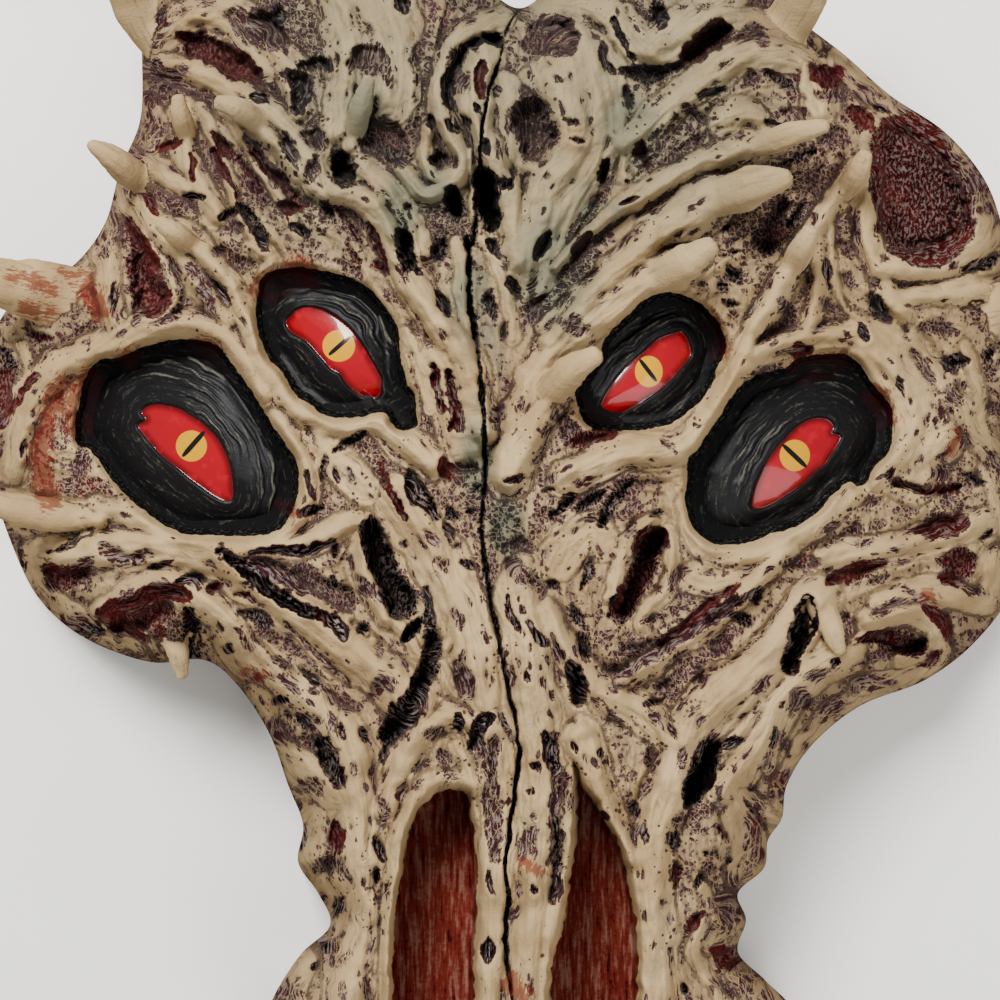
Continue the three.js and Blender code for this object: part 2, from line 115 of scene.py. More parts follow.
# Seams from side to side, through the eyes, that part the upper face from the lower. These are
# the places in the lists above, counted from 0, where they and the crack end.
LEFT_SEAM = [(-15, 410), (80, 430), (188, 440), (270, 400), (338, 352), (420, 385), (484, 400)]
RIGHT_SEAM = [
    (484, 400), (530, 430), (582, 436), (640, 395), (692, 385), (742, 440), (790, 462), (900, 455),
    (1008, 447),
]
SIDE_SEAM = 18
CRACK_SEAM = 13
CHIN_SEAM = 2
CROWN_SEAM = 5

# The lower quarters' rows meet these shares of the side's length and of the crack's. Rows from
# the rim's inner corners rise steeply towards the crack, so that they stay inside the rim.
SIDE_SHARES = [0, 0.4, 0.52, 0.6, 0.68, 0.8, 1]
CRACK_SHARES = [0, 0.6, 0.74, 0.84, 0.89, 0.94, 1]

# Bony struts that stand on the face: half width at the start, half width at the end, height in
# mm, and the points of the path.
STRUTS = {
    "left brow hook": (12, 16, 12, [(338, 192), (372, 205), (412, 282), (462, 360), (482, 430)]),
    "left brow foot": (16, 22, 8, [(440, 360), (455, 400), (465, 440)]),
    "left inner crest": (12, 10, 8, [(232, 106), (280, 145), (322, 192), (345, 190)]),
    "left middle crest": (11, 10, 7, [(181, 110), (188, 160), (215, 215)]),
    "left spike arm": (14, 10, 8, [(112, 158), (140, 205), (185, 262), (225, 320)]),
    "left spike post": (11, 10, 7, [(104, 185), (105, 260), (116, 335)]),
    "left spike shelf": (12, 9, 6, [(125, 158), (170, 180), (205, 195)]),
    "left knob ridge": (12, 11, 8, [(180, 235), (228, 285), (255, 345)]),
    "left eye bridge": (12, 15, 8, [(255, 345), (290, 398), (335, 425), (372, 418), (402, 442), (432, 462)]),
    "left ring top": (11, 13, 8, [(262, 392), (222, 335), (160, 325), (105, 345), (60, 367)]),
    "left ring side": (15, 12, 8, [(60, 367), (25, 405), (12, 470)]),
    "left ring bottom": (11, 11, 7, [(96, 508), (165, 530), (230, 545), (290, 528), (306, 480), (280, 425)]),
    "left cheek horn": (17, 15, 9, [(-5, 508), (45, 515), (95, 522)]),
    "left cheek band": (15, 21, 9, [(40, 555), (130, 545), (215, 556), (290, 602), (345, 645), (412, 700)]),
    "left cheek strut": (13, 15, 8, [
        (105, 612), (165, 585), (215, 612), (255, 665), (315, 705), (340, 745),
    ]),
    "left cheek edge": (11, 10, 6, [(25, 560), (60, 610), (120, 640)]),
    "left jaw root": (15, 13, 8, [(258, 700), (275, 750), (320, 782), (342, 800)]),
    "left jaw column": (20, 20, 9, [
        (342, 730), (353, 800), (354, 900), (346, 1000), (350, 1090), (400, 1150),
    ]),
    "left slot arch": (12, 11, 7, [(482, 722), (440, 718), (405, 760), (385, 810)]),
    "left slot lip": (8, 9, 6, [(474, 785), (440, 778), (412, 805), (396, 860), (390, 940), (390, 1080)]),
    "left nose flank": (20, 17, 7, [(402, 500), (440, 560), (468, 625), (482, 700)]),
    "left nose plate": (10, 9, 7, [(240, 548), (300, 545), (362, 520), (364, 570), (385, 618)]),
    "left centre strip": (15, 14, 7, [(488, 720), (498, 800), (496, 900), (488, 1000), (490, 1110)]),
    "right centre strip": (18, 18, 8, [
        (522, 575), (532, 680), (540, 780), (534, 900), (526, 1000), (528, 1110),
    ]),
    "right nose web": (12, 14, 7, [(545, 612), (590, 680), (640, 712), (675, 745)]),
    "right slot lip": (15, 12, 8, [(580, 735), (600, 790), (615, 825), (632, 860)]),
    "right slot inner": (8, 8, 6, [(572, 775), (566, 850), (552, 940), (542, 1040)]),
    "right jaw column": (20, 20, 9, [(672, 780), (652, 850), (650, 1000), (648, 1090), (610, 1150)]),
    "right main strut": (22, 20, 10, [(815, 600), (775, 655), (705, 715), (672, 780)]),
    "right inner strut": (10, 10, 8, [(790, 550), (735, 600), (670, 650), (622, 684)]),
    "right outer strut": (14, 14, 8, [(850, 655), (790, 690), (762, 745), (724, 790)]),
    "right contour": (13, 12, 7, [(905, 690), (840, 715), (800, 760), (782, 805)]),
    "right curl": (12, 11, 9, [(868, 620), (920, 614), (938, 648), (910, 680), (862, 692)]),
    "right cheek plate": (12, 12, 6, [(825, 558), (890, 548), (985, 522)]),
    "right cheek edge": (11, 11, 6, [(995, 560), (985, 600), (930, 592), (880, 605)]),
    "right ring bottom": (11, 12, 7, [(690, 505), (705, 545), (775, 550), (850, 492)]),
    "right ring side": (15, 14, 8, [(862, 335), (905, 385), (914, 430), (880, 476)]),
    "right ring top": (10, 11, 7, [(735, 375), (765, 348), (815, 335), (862, 332)]),
    "right eye bridge": (12, 16, 8, [(735, 372), (712, 415), (675, 450), (620, 455), (570, 478)]),
    "right low spike leg": (12, 10, 9, [(806, 245), (770, 305), (735, 368)]),
    "right low spike rib": (10, 9, 7, [(814, 245), (818, 285), (808, 330)]),
    "right high spike leg": (10, 9, 7, [(856, 172), (825, 215), (812, 238)]),
    "right high spike post": (11, 11, 7, [(869, 175), (868, 245), (900, 310)]),
    "right small finger": (18, 16, 10, [(508, 475), (525, 430), (560, 382)]),
    "right low finger": (14, 20, 10, [(515, 420), (560, 345), (620, 298), (680, 264)]),
    "right middle finger": (8, 22, 10, [(548, 342), (590, 300), (650, 240), (710, 198)]),
    "right high finger": (5, 13, 8, [(556, 268), (610, 215), (690, 168), (770, 140)]),
    "right crown band": (13, 14, 7, [(625, 145), (690, 90), (760, 52), (815, 62), (822, 108)]),
    "right bowl rim": (14, 14, 8, [(840, 62), (905, 112), (965, 160), (985, 225), (940, 266), (880, 268)]),
    "right side band": (12, 14, 6, [(890, 300), (950, 290), (1015, 290)]),
    "right temple band": (11, 11, 5, [(905, 340), (945, 385), (975, 430), (1010, 480)]),
    "crown left band": (12, 13, 7, [(150, 62), (225, 85), (285, 125), (325, 190)]),
    "crown left edge": (13, 13, 7, [(150, 45), (215, 5), (285, 60), (300, 110)]),
    "crown left flow": (16, 13, 7, [(335, -20), (345, 60), (335, 130)]),
    "crown loop": (10, 9, 8, [(505, 18), (455, 42), (440, 105), (462, 165), (425, 195), (402, 170)]),
    "crown centre finger": (17, 12, 10, [(485, 58), (478, 115), (505, 190), (520, 260)]),
    "crown right dome": (20, 16, 8, [(560, 78), (575, 140), (540, 195), (525, 260)]),
    "crown right plate": (36, 24, 6, [(580, 70), (582, 135), (548, 205), (525, 262)]),
    "crown left plate": (26, 20, 6, [(385, -20), (388, 30), (385, 95)]),
    "right temple plate": (26, 24, 5, [(880, 350), (915, 405), (918, 470)]),
    "right tooth plate": (18, 17, 8, [(888, 460), (915, 452), (945, 442)]),
    "crown right flow": (16, 16, 8, [(530, -2), (600, 5), (640, 45), (680, 30), (740, -5)]),
    "forehead slab": (13, 12, 7, [(365, 170), (395, 205), (418, 255)]),
}

# Thin ridges between the struts, for carving too fine for the plain solid, with the same sizes
# as a strut.
RIDGES = [
    # Left of the crown.
    (5, 4, 4, [(200, 108), (218, 150), (232, 190), (246, 225), (268, 252)]),
    (5, 5, 4, [(235, 125), (258, 160), (285, 205), (300, 235)]),
    (8, 6, 5, [(352, 145), (360, 110), (370, 82)]),
    (9, 9, 5, [(368, 168), (385, 178), (402, 195), (412, 225)]),
    (5, 5, 4, [(326, 130), (322, 165), (330, 190)]),
    (8, 8, 5, [(152, 62), (190, 68), (235, 88), (280, 110)]),
    (9, 9, 5, [(180, 12), (215, 18), (250, 45), (268, 72)]),
    (9, 10, 4, [(150, 105), (155, 125), (148, 142)]),
    (14, 16, 4, [(350, 10), (385, 30), (400, 75), (390, 110)]),
    # Middle of the crown.
    (6, 6, 6, [(428, 130), (424, 158), (436, 178), (455, 170), (460, 152), (448, 140)]),
    (5, 5, 4, [(455, 178), (440, 195), (418, 198)]), (3, 2, 6, [(469, 150), (472, 185), (474, 222)]),
    (12, 12, 4, [(500, 85), (510, 110), (512, 160)]), (11, 9, 5, [(555, 55), (580, 62), (588, 85)]),
    (7, 7, 4, [(520, 165), (545, 168), (572, 148)]),
    # Right of the crown.
    (13, 10, 5, [(725, 118), (745, 110), (758, 118)]), (6, 6, 5, [(805, 60), (808, 85), (822, 105)]),
    (10, 10, 5, [(705, 5), (740, 15), (775, 25), (812, 48)]),
    (7, 7, 5, [(620, 5), (632, 38), (655, 58), (680, 52), (698, 25)]),
    (5, 5, 4, [(612, 10), (625, 45), (645, 75)]),
    (5, 5, 4, [(590, 125), (608, 130), (622, 150), (625, 175)]),
    # Left brow.
    (9, 6, 5, [(165, 224), (200, 248), (228, 285), (250, 330), (268, 372)]),
    (6, 6, 5, [(108, 180), (135, 222), (160, 262), (174, 290), (168, 312), (135, 325)]),
    (7, 6, 5, [(252, 245), (270, 258), (262, 280), (258, 300)]),
    # Middle brow.
    (5, 5, 4, [(540, 330), (575, 295), (615, 268), (660, 262)]),
    (5, 5, 4, [(482, 240), (500, 265), (508, 300), (512, 340)]),
    (6, 5, 4, [(458, 245), (462, 300), (470, 350)]),
    # Right brow.
    (3, 3, 4, [(832, 212), (832, 255), (842, 300), (860, 318)]),
    (6, 5, 4, [(760, 345), (800, 332), (840, 328)]),
    # Left of the eyes.
    (5, 4, 4, [(22, 345), (30, 375), (12, 410), (-5, 440)]),
    (14, 12, 3, [(318, 440), (345, 470), (365, 490)]),
    # Middle of the eyes.
    (4, 5, 4, [(405, 330), (420, 370), (428, 410)]), (16, 18, 6, [(462, 425), (464, 442), (466, 448)]),
    # Right of the eyes.
    (5, 5, 4, [(965, 345), (980, 395), (985, 440)]),
    # Left cheek.
    (3, 4, 4, [(126, 612), (142, 632), (160, 656)]), (7, 5, 5, [(85, 640), (110, 632), (140, 650)]),
    (5, 5, 5, [(348, 618), (346, 634), (356, 646), (372, 642)]),
    # Middle cheek.
    (5, 5, 4, [(385, 618), (405, 632), (415, 655), (440, 650), (452, 640)]),
    (15, 14, 3, [(560, 560), (590, 530), (605, 545)]),
    # Right cheek.
    (6, 6, 5, [(612, 598), (618, 565), (632, 535), (650, 520)]),
    (6, 6, 5, [(668, 530), (672, 560), (665, 592), (648, 608), (640, 628)]),
    (12, 10, 3, [(690, 575), (720, 585), (760, 560)]), (9, 8, 4, [(905, 660), (925, 655), (932, 640)]),
    (5, 5, 5, [(852, 645), (875, 628), (905, 620), (925, 630)]),
    (5, 5, 4, [(982, 470), (1000, 510), (1005, 560)]),
    # Left of the jaw.
    (13, 11, 6, [(312, 820), (308, 850), (312, 872)]), (12, 12, 6, [(302, 962), (292, 990), (300, 1030)]),
    (8, 8, 5, [(322, 880), (332, 905), (322, 935)]),
    # Middle of the jaw.
    (6, 3, 5, [(455, 745), (468, 768), (473, 793)]), (6, 4, 5, [(455, 712), (470, 720), (470, 736)]),
    # Right of the jaw.
    (5, 5, 4, [(795, 690), (785, 712), (775, 735), (770, 770)]),
    (9, 8, 5, [(742, 795), (760, 808), (778, 818)]), (15, 13, 6, [(742, 812), (752, 845), (745, 872)]),
    (13, 12, 6, [(722, 912), (730, 928), (718, 940)]), (14, 14, 6, [(742, 975), (760, 1000), (775, 1040)]),
    (6, 5, 4, [(698, 880), (706, 905), (694, 950), (712, 985), (735, 1040)]),
    (5, 5, 4, [(720, 752), (745, 728), (762, 700)]),
]

# Grooves and channels: half width at the start, half width at the end, depth in mm, how red, and
# the points of the path.
HOLLOWS = {
    "crown pit": (15, 12, 18, 0, [(484, 180), (490, 215)]),
    "forehead left pit": (9, 9, 10, 0, [(402, 240), (408, 265)]),
    "brow left pit": (11, 9, 9, 0, [(340, 160), (345, 180)]),
    "left nostril": (13, 17, 14, 0.3, [(372, 528), (384, 565), (402, 605)]),
    "right nostril": (16, 13, 13, 0.8, [(652, 540), (640, 572), (622, 612)]),
    "left mouth pit": (12, 12, 9, 0, [(432, 640), (425, 680), (390, 735)]),
    "right mouth pit": (9, 9, 8, 0.2, [(576, 670), (580, 700)]),
    "right jaw gap": (14, 10, 12, 0, [(712, 752), (690, 795)]),
    "left jaw gap": (12, 9, 10, 0, [(322, 745), (338, 780)]),
    "left fang gap": (9, 9, 12, 0.2, [(190, 618), (196, 652)]),
    "right fang gap": (11, 9, 13, 0, [(808, 610), (790, 665)]),
    "left plate pit": (11, 14, 6, 0, [(255, 566), (305, 580), (345, 600)]),
    "right bowl": (40, 52, 14, 0.6, [(908, 150), (925, 215)]),
    "right curl pit": (12, 12, 9, 0.9, [(885, 640), (915, 645)]),
    "right cheek pit": (15, 13, 6, 0.7, [(935, 528), (955, 522)]),
    "tooth plate slit": (5, 5, 5, 0.9, [(897, 482), (930, 491), (958, 486)]),
    "right edge pit": (15, 12, 6, 0.9, [(955, 575), (965, 560)]),
    "left spike cup": (16, 20, 9, 0.9, [(140, 262), (150, 300)]),
    "right spike cup": (12, 14, 7, 0.2, [(785, 205), (765, 240)]),
    "left side cup": (13, 12, 6, 0.6, [(5, 375), (-2, 420)]),
    "left cheek cup": (16, 14, 8, 0.6, [(120, 622), (165, 612)]),
    "left small cup": (14, 11, 5, 0.7, [(58, 580), (85, 572)]),
    "crown left cup": (14, 14, 8, 0.9, [(195, 45), (240, 68)]),
    "crown grey cup": (16, 16, 7, 0, [(262, 22), (275, 35)]),
    "crown right cup": (24, 20, 8, 0.1, [(530, 120), (540, 135)]),
    "crown top cup": (20, 20, 8, 0, [(545, 35), (560, 36)]),
    "crown red cup": (12, 14, 9, 0.9, [(692, 55), (718, 32)]),
    "brow red slit": (5, 5, 4, 0.8, [(255, 153), (298, 195)]),
    "hook slit": (5, 5, 4, 0.7, [(434, 368), (442, 412)]),
    "hook long slit": (5, 5, 4, 0.7, [(450, 375), (460, 428)]),
    "right strut crevice": (6, 9, 6, 0.4, [(740, 600), (665, 645)]),
    "left strut crevice": (6, 6, 6, 0.1, [(222, 548), (280, 592), (330, 622)]),
    "left strip groove": (5, 5, 3, 0, [(493, 740), (495, 860)]),
    "right strip groove": (4, 4, 3, 0, [(555, 735), (553, 900)]),
}

# Shallow hollows where pale scratches cover the dark wash: half width and the points of the
# middle.
SPECKLED = [
    # Left of the crown.
    (12, (148, 100), (160, 88), (178, 73)), (15, (232, 15), (250, 28), (262, 42)),
    (6, (146, 55), (147, 75)), (9, (308, 135), (322, 145)), (7, (318, 160), (308, 180)),
    (8, (282, 135), (292, 152), (296, 165)), (5, (246, 137), (258, 150), (270, 162)),
    (12, (352, 62), (365, 55), (382, 66), (390, 80)), (19, (370, 125), (385, 140), (400, 158)),
    # Middle of the crown.
    (6, (455, 0), (446, 12), (442, 30), (437, 45)), (5, (420, 45), (415, 68)),
    (5, (432, 62), (425, 85), (423, 110)), (22, (535, 108), (536, 145)),
    (15, (530, 46), (545, 36), (562, 33)), (5, (553, 75), (562, 80)),
    # Right of the crown.
    (7, (738, 38), (755, 32), (762, 42)), (7, (745, 85), (760, 78)), (7, (818, 92), (845, 98)),
    (5, (862, 85), (872, 92)), (7, (685, 108), (705, 122)), (6, (788, 112), (805, 112)),
    (9, (822, 142), (838, 135), (845, 145)),
    # Left brow.
    (7, (232, 230), (242, 226)), (6, (213, 250), (222, 252)), (6, (232, 264), (254, 264)),
    (5, (112, 206), (120, 240)), (8, (133, 322), (145, 305), (160, 295)),
    (6, (150, 325), (168, 318), (185, 308)), (5, (172, 262), (178, 285), (182, 305)),
    (6, (190, 268), (205, 290), (215, 315)), (6, (335, 258), (360, 275)),
    # Middle brow.
    (6, (590, 205), (602, 195)), (12, (565, 325), (585, 330)), (5, (407, 320), (416, 332)),
    # Right brow.
    (6, (925, 200), (938, 225)), (8, (842, 245), (852, 255)), (6, (843, 275), (853, 285)),
    (6, (823, 300), (842, 315)), (8, (783, 300), (790, 320), (775, 330)), (9, (922, 328), (955, 332)),
    (5, (903, 325), (908, 338)), (5, (730, 315), (733, 328)),
    # Left of the eyes.
    (5, (306, 425), (316, 445)), (5, (350, 474), (354, 480)), (7, (85, 440), (78, 480)),
    # Middle of the eyes.
    (9, (452, 470), (462, 485)), (8, (458, 466), (475, 470)), (9, (560, 410), (568, 432), (585, 440)),
    # Right of the eyes.
    (7, (745, 380), (765, 372), (785, 372)), (6, (662, 440), (675, 450)),
    (7, (912, 350), (922, 365), (932, 378)), (8, (948, 390), (960, 405)), (7, (990, 400), (1000, 412)),
    (7, (990, 455), (998, 470)),
    # Left cheek.
    (10, (108, 550), (128, 560), (145, 552)), (7, (73, 572), (90, 562)),
    (9, (275, 575), (300, 570), (330, 585)), (6, (285, 640), (300, 655)), (6, (258, 616), (275, 642)),
    (5, (242, 640), (252, 648)), (6, (358, 575), (368, 590), (378, 600)),
    # Middle cheek.
    (8, (440, 560), (448, 572)), (5, (425, 532), (437, 542)), (8, (503, 548), (520, 545), (530, 552)),
    (9, (510, 562), (525, 575), (545, 590)), (6, (455, 665), (465, 655)), (6, (590, 560), (588, 572)),
    # Right cheek.
    (7, (636, 515), (630, 535)), (11, (625, 650), (645, 655), (665, 640)), (7, (645, 622), (660, 620)),
    (8, (605, 668), (625, 672), (640, 662)), (7, (700, 665), (702, 685)), (8, (808, 678), (825, 672)),
    (6, (670, 590), (677, 575), (690, 566)), (12, (722, 640), (718, 655)),
    (7, (782, 565), (800, 562), (818, 562)), (5, (820, 548), (840, 540), (850, 535)),
    (7, (848, 530), (862, 530)), (7, (872, 528), (885, 523)), (5, (862, 508), (868, 502), (880, 505)),
    (6, (872, 615), (895, 605), (920, 603)), (5, (860, 665), (880, 655), (900, 650)),
    (6, (925, 600), (905, 590)),
    # Left of the jaw.
    (13, (305, 740), (322, 748), (332, 765)), (6, (322, 690), (340, 700), (358, 705)),
    (9, (375, 695), (385, 680), (388, 690)), (7, (382, 802), (385, 825)), (5, (353, 765), (356, 772)),
    (9, (300, 790), (312, 785), (322, 795)), (8, (318, 870), (335, 865), (343, 875)),
    (5, (340, 985), (343, 1000)), (5, (364, 980), (370, 998)),
    # Middle of the jaw.
    (10, (462, 668), (465, 685), (470, 692)), (6, (425, 738), (440, 728)),
    (9, (487, 760), (490, 790), (493, 820), (492, 855)), (6, (440, 755), (447, 765)),
    (6, (415, 770), (428, 760)), (6, (400, 795), (408, 782)), (5, (414, 786), (420, 782)),
    (8, (560, 770), (562, 790), (558, 805)), (5, (528, 835), (535, 855)),
    # Right of the jaw.
    (6, (607, 717), (617, 725), (622, 735)), (6, (650, 750), (653, 768)), (10, (660, 690), (668, 678)),
    (5, (705, 745), (714, 735)), (5, (722, 905), (738, 912)), (5, (710, 980), (725, 990), (738, 998)),
    (13, (790, 710), (800, 698), (812, 705)), (6, (783, 735), (788, 752)), (6, (770, 766), (775, 774)),
]

# Dark pits with a crisp edge, with the same sizes.
DARK = [
    # Left of the crown.
    (6, (150, 36), (158, 22), (165, 10)), (5, (152, 63), (158, 64)), (8, (278, 5), (275, 25)),
    (11, (284, 75), (300, 85), (296, 108)), (5, (252, 95), (268, 96)), (8, (300, 65), (318, 60), (328, 66)),
    (9, (286, 140), (292, 158)), (4, (185, 195), (203, 198)), (6, (392, 155), (400, 160)),
    # Middle of the crown.
    (7, (400, 2), (404, 12)), (8, (462, 50), (452, 75), (450, 100), (455, 112)), (5, (468, 46), (480, 42)),
    (4, (475, 105), (482, 115)), (4, (484, 142), (487, 156)), (6, (430, 118), (433, 130)),
    (5, (447, 122), (458, 132)), (4, (464, 118), (467, 130)), (11, (434, 160), (444, 159)),
    (7, (503, 180), (508, 184)), (5, (566, 118), (580, 122)), (4, (572, 140), (584, 143)),
    # Right of the crown.
    (7, (603, 42), (604, 60), (612, 72)), (5, (615, 18), (620, 35), (632, 58)),
    (9, (622, 70), (645, 75), (668, 72)), (5, (625, 90), (632, 108)), (12, (657, 5), (660, 25)),
    (6, (700, 60), (680, 65), (663, 72)), (9, (768, 72), (785, 80), (793, 88)), (5, (702, 95), (725, 88)),
    (5, (876, 105), (888, 110)), (4, (766, 122), (778, 125)), (5, (780, 165), (800, 158), (815, 150)),
    (4, (916, 140), (920, 144)),
    # Left brow.
    (7, (242, 205), (255, 220), (265, 248)), (5, (220, 218), (236, 212)), (8, (292, 225), (308, 236)),
    (7, (325, 205), (335, 225)), (4, (172, 234), (178, 238)), (5, (112, 285), (116, 308)),
    (4, (218, 285), (230, 305)),
    # Middle brow.
    (7, (547, 234), (537, 258)), (10, (444, 240), (434, 258)), (6, (440, 292), (447, 310)),
    (8, (490, 243), (500, 256)), (8, (488, 294), (494, 318)), (8, (511, 278), (518, 296)),
    (4, (504, 325), (503, 340)), (5, (405, 206), (409, 210)), (5, (415, 272), (420, 275)),
    # Right brow.
    (4, (826, 262), (830, 285)), (7, (872, 295), (880, 312), (888, 318)),
    (6, (783, 235), (795, 220), (805, 205)), (6, (765, 250), (775, 245)), (5, (753, 230), (757, 236)),
    (4, (722, 230), (727, 225)), (5, (720, 258), (738, 250)), (9, (730, 268), (738, 280)),
    (5, (722, 285), (725, 290)), (4, (725, 302), (738, 305)), (5, (965, 268), (985, 262), (1000, 252)),
    (6, (975, 303), (995, 312)), (5, (862, 325), (866, 340)),
    # Left of the eyes.
    (9, (3, 348), (10, 370), (4, 395)), (4, (26, 440), (22, 455)), (4, (307, 470), (315, 500)),
    (4, (325, 455), (322, 480)), (4, (335, 450), (350, 440), (363, 433)), (4, (334, 468), (338, 480)),
    # Middle of the eyes.
    (9, (408, 470), (415, 488), (425, 500), (436, 515)), (5, (475, 488), (480, 492)),
    (5, (505, 482), (525, 478)), (4, (543, 492), (555, 488)),
    # Right of the eyes.
    (12, (948, 364), (965, 362)), (6, (985, 360), (992, 350)), (4, (888, 478), (893, 468)),
    (4, (963, 475), (985, 485)), (4, (898, 378), (903, 395)),
    # Left cheek.
    (4, (17, 535), (24, 570)), (4, (48, 552), (70, 545), (92, 530)), (4, (148, 570), (172, 560)),
    (7, (178, 582), (195, 578), (205, 580)), (4, (185, 595), (192, 600)),
    (7, (240, 612), (258, 616), (272, 622)), (6, (226, 646), (232, 650)), (6, (82, 630), (100, 632)),
    (4, (252, 552), (275, 550), (300, 552)), (7, (285, 552), (310, 548), (335, 542)),
    (6, (300, 515), (322, 510)), (8, (332, 622), (338, 622)), (7, (333, 540), (336, 555)),
    (6, (332, 578), (333, 586)), (4, (351, 595), (354, 597)), (7, (332, 618), (345, 640)),
    (8, (361, 628), (365, 632)), (5, (303, 670), (320, 685)),
    # Middle cheek.
    (6, (428, 498), (432, 502)), (5, (447, 508), (455, 518)), (5, (444, 522), (452, 534)),
    (5, (468, 509), (470, 515)), (4, (401, 543), (405, 546)), (4, (454, 543), (457, 546)),
    (5, (462, 562), (475, 570)), (7, (425, 590), (430, 610), (432, 635)), (7, (560, 510), (572, 498)),
    (7, (550, 514), (556, 514)), (6, (578, 512), (592, 500), (602, 494)), (7, (549, 583), (556, 588)),
    (5, (580, 590), (590, 572), (592, 560)), (5, (572, 608), (585, 625)), (6, (580, 635), (588, 655)),
    (6, (527, 622), (540, 640), (548, 645)), (5, (508, 595), (512, 615), (518, 630)),
    (6, (522, 607), (525, 612)), (4, (553, 640), (557, 655)), (4, (529, 648), (532, 653)),
    (5, (502, 650), (506, 668)), (5, (526, 673), (530, 681)),
    # Right cheek.
    (7, (602, 525), (612, 505), (632, 482)), (4, (650, 515), (665, 510)), (5, (831, 663), (835, 665)),
    (6, (752, 598), (760, 590)), (6, (735, 615), (750, 622)), (4, (704, 664), (707, 666)),
    (4, (982, 540), (992, 530)), (5, (843, 616), (848, 619)), (6, (833, 662), (838, 665)),
    # Left of the jaw.
    (5, (276, 702), (287, 699)), (4, (287, 714), (292, 718)), (7, (300, 718), (310, 726)),
    (4, (341, 722), (344, 738)), (4, (362, 728), (365, 740)), (8, (392, 738), (385, 750), (382, 760)),
    (6, (377, 838), (382, 858)), (4, (375, 868), (376, 882)), (4, (303, 848), (308, 830)),
    (5, (335, 912), (340, 900)), (7, (324, 944), (330, 952)), (4, (312, 970), (318, 962)),
    # Middle of the jaw.
    (8, (392, 705), (398, 720), (415, 722)), (6, (402, 728), (412, 718), (422, 712)),
    (6, (457, 716), (458, 730)), (9, (473, 745), (482, 722), (492, 718)), (4, (488, 872), (493, 892)),
    (6, (488, 940), (487, 960)), (4, (533, 888), (535, 894)), (5, (533, 764), (538, 770)),
    (4, (529, 790), (534, 793)), (4, (533, 812), (535, 818)), (4, (499, 715), (505, 730)),
    (8, (572, 665), (578, 685), (580, 702)), (7, (546, 735), (552, 752), (555, 770)),
    (4, (557, 810), (556, 840), (558, 870), (559, 900)), (4, (574, 742), (577, 752)),
    # Right of the jaw.
    (6, (600, 748), (600, 756)), (4, (672, 728), (676, 738)), (5, (645, 705), (665, 700)),
    (5.5, (632, 802), (637, 816)), (4, (643, 825), (648, 842)), (4, (604, 813), (608, 819)),
    (6, (725, 745), (742, 738)), (5, (675, 835), (675, 850)), (4, (702, 875), (696, 888)),
    (5, (704, 852), (707, 854)), (4, (714, 848), (718, 862)), (5, (726, 859), (730, 861)),
    (6, (684, 985), (688, 998)), (5, (775, 728), (772, 745)), (4, (750, 788), (760, 785)),
    (4, (742, 800), (755, 815), (765, 830)),
]

# Pits where the wine red shows, with the same sizes.
WINE_RED = [
    # Left of the crown.
    (13, (180, 35), (205, 47), (235, 60), (256, 74)), (7, (155, 147), (168, 146), (178, 142)),
    (6, (212, 132), (222, 145), (230, 156)), (6, (256, 155), (275, 175), (295, 196)),
    (4, (191, 156), (193, 178)), (4, (212, 150), (225, 175), (240, 198)),
    (4, (240, 160), (252, 178), (262, 198)), (5, (132, 180), (144, 194), (156, 215)),
    (4, (106, 186), (114, 200)),
    # Middle of the crown.
    (7, (480, 62), (479, 80), (483, 98)),
    # Right of the crown.
    (8, (640, 146), (650, 168)), (5, (626, 179), (630, 181)), (10, (722, 28), (708, 45), (698, 55)),
    (10, (815, 68), (828, 78), (838, 72)), (10, (853, 108), (863, 118), (872, 128)),
    (5, (842, 192), (857, 183)),
    # Left brow.
    (7, (280, 204), (300, 208)), (12, (130, 225), (140, 250), (152, 280)), (7, (30, 333), (50, 340)),
    (5, (335, 208), (350, 225), (362, 245)), (5, (368, 222), (378, 245), (386, 270)),
    (4, (345, 240), (358, 262)), (6, (374, 262), (386, 275)),
    # Middle brow.
    (7, (588, 236), (572, 264)), (5, (532, 305), (548, 293)),
    # Right brow.
    (4, (620, 204), (638, 196)),
    # Left of the eyes.
    (5, (8, 412), (22, 395), (38, 374)), (7, (382, 460), (388, 485), (398, 505), (405, 520)),
    # Middle of the eyes.
    (8, (445, 460), (452, 478)), (8, (575, 440), (600, 436), (620, 428)), (4, (434, 365), (440, 400)),
    (5, (450, 372), (456, 410), (450, 430)),
    # Right of the eyes.
    (8, (795, 355), (808, 350)),
    # Left cheek.
    (8, (45, 567), (65, 578)), (11, (102, 615), (135, 600), (168, 592), (188, 598)),
    (6, (110, 618), (130, 630), (148, 640)), (5, (148, 610), (158, 628), (166, 640)),
    (6, (210, 586), (222, 588)), (5, (235, 594), (250, 596)), (5, (325, 622), (315, 612)),
    # Right cheek.
    (8, (655, 545), (645, 575), (632, 600)), (9, (918, 530), (940, 525), (962, 515)),
    (12, (942, 562), (962, 560), (970, 574)), (8, (830, 582), (850, 573), (885, 565)),
    (8, (925, 607), (942, 620), (948, 640)), (6, (940, 650), (925, 665)),
    (5, (858, 642), (875, 637), (900, 635)), (5, (662, 640), (685, 625), (710, 605), (740, 585)),
    # Left of the jaw.
    (8, (335, 825), (336, 850)),
    # Right of the jaw.
    (5, (676, 862), (676, 885)), (6, (716, 825), (724, 840)), (7, (702, 912), (690, 922), (686, 930)),
    (11, (715, 952), (730, 963)),
]

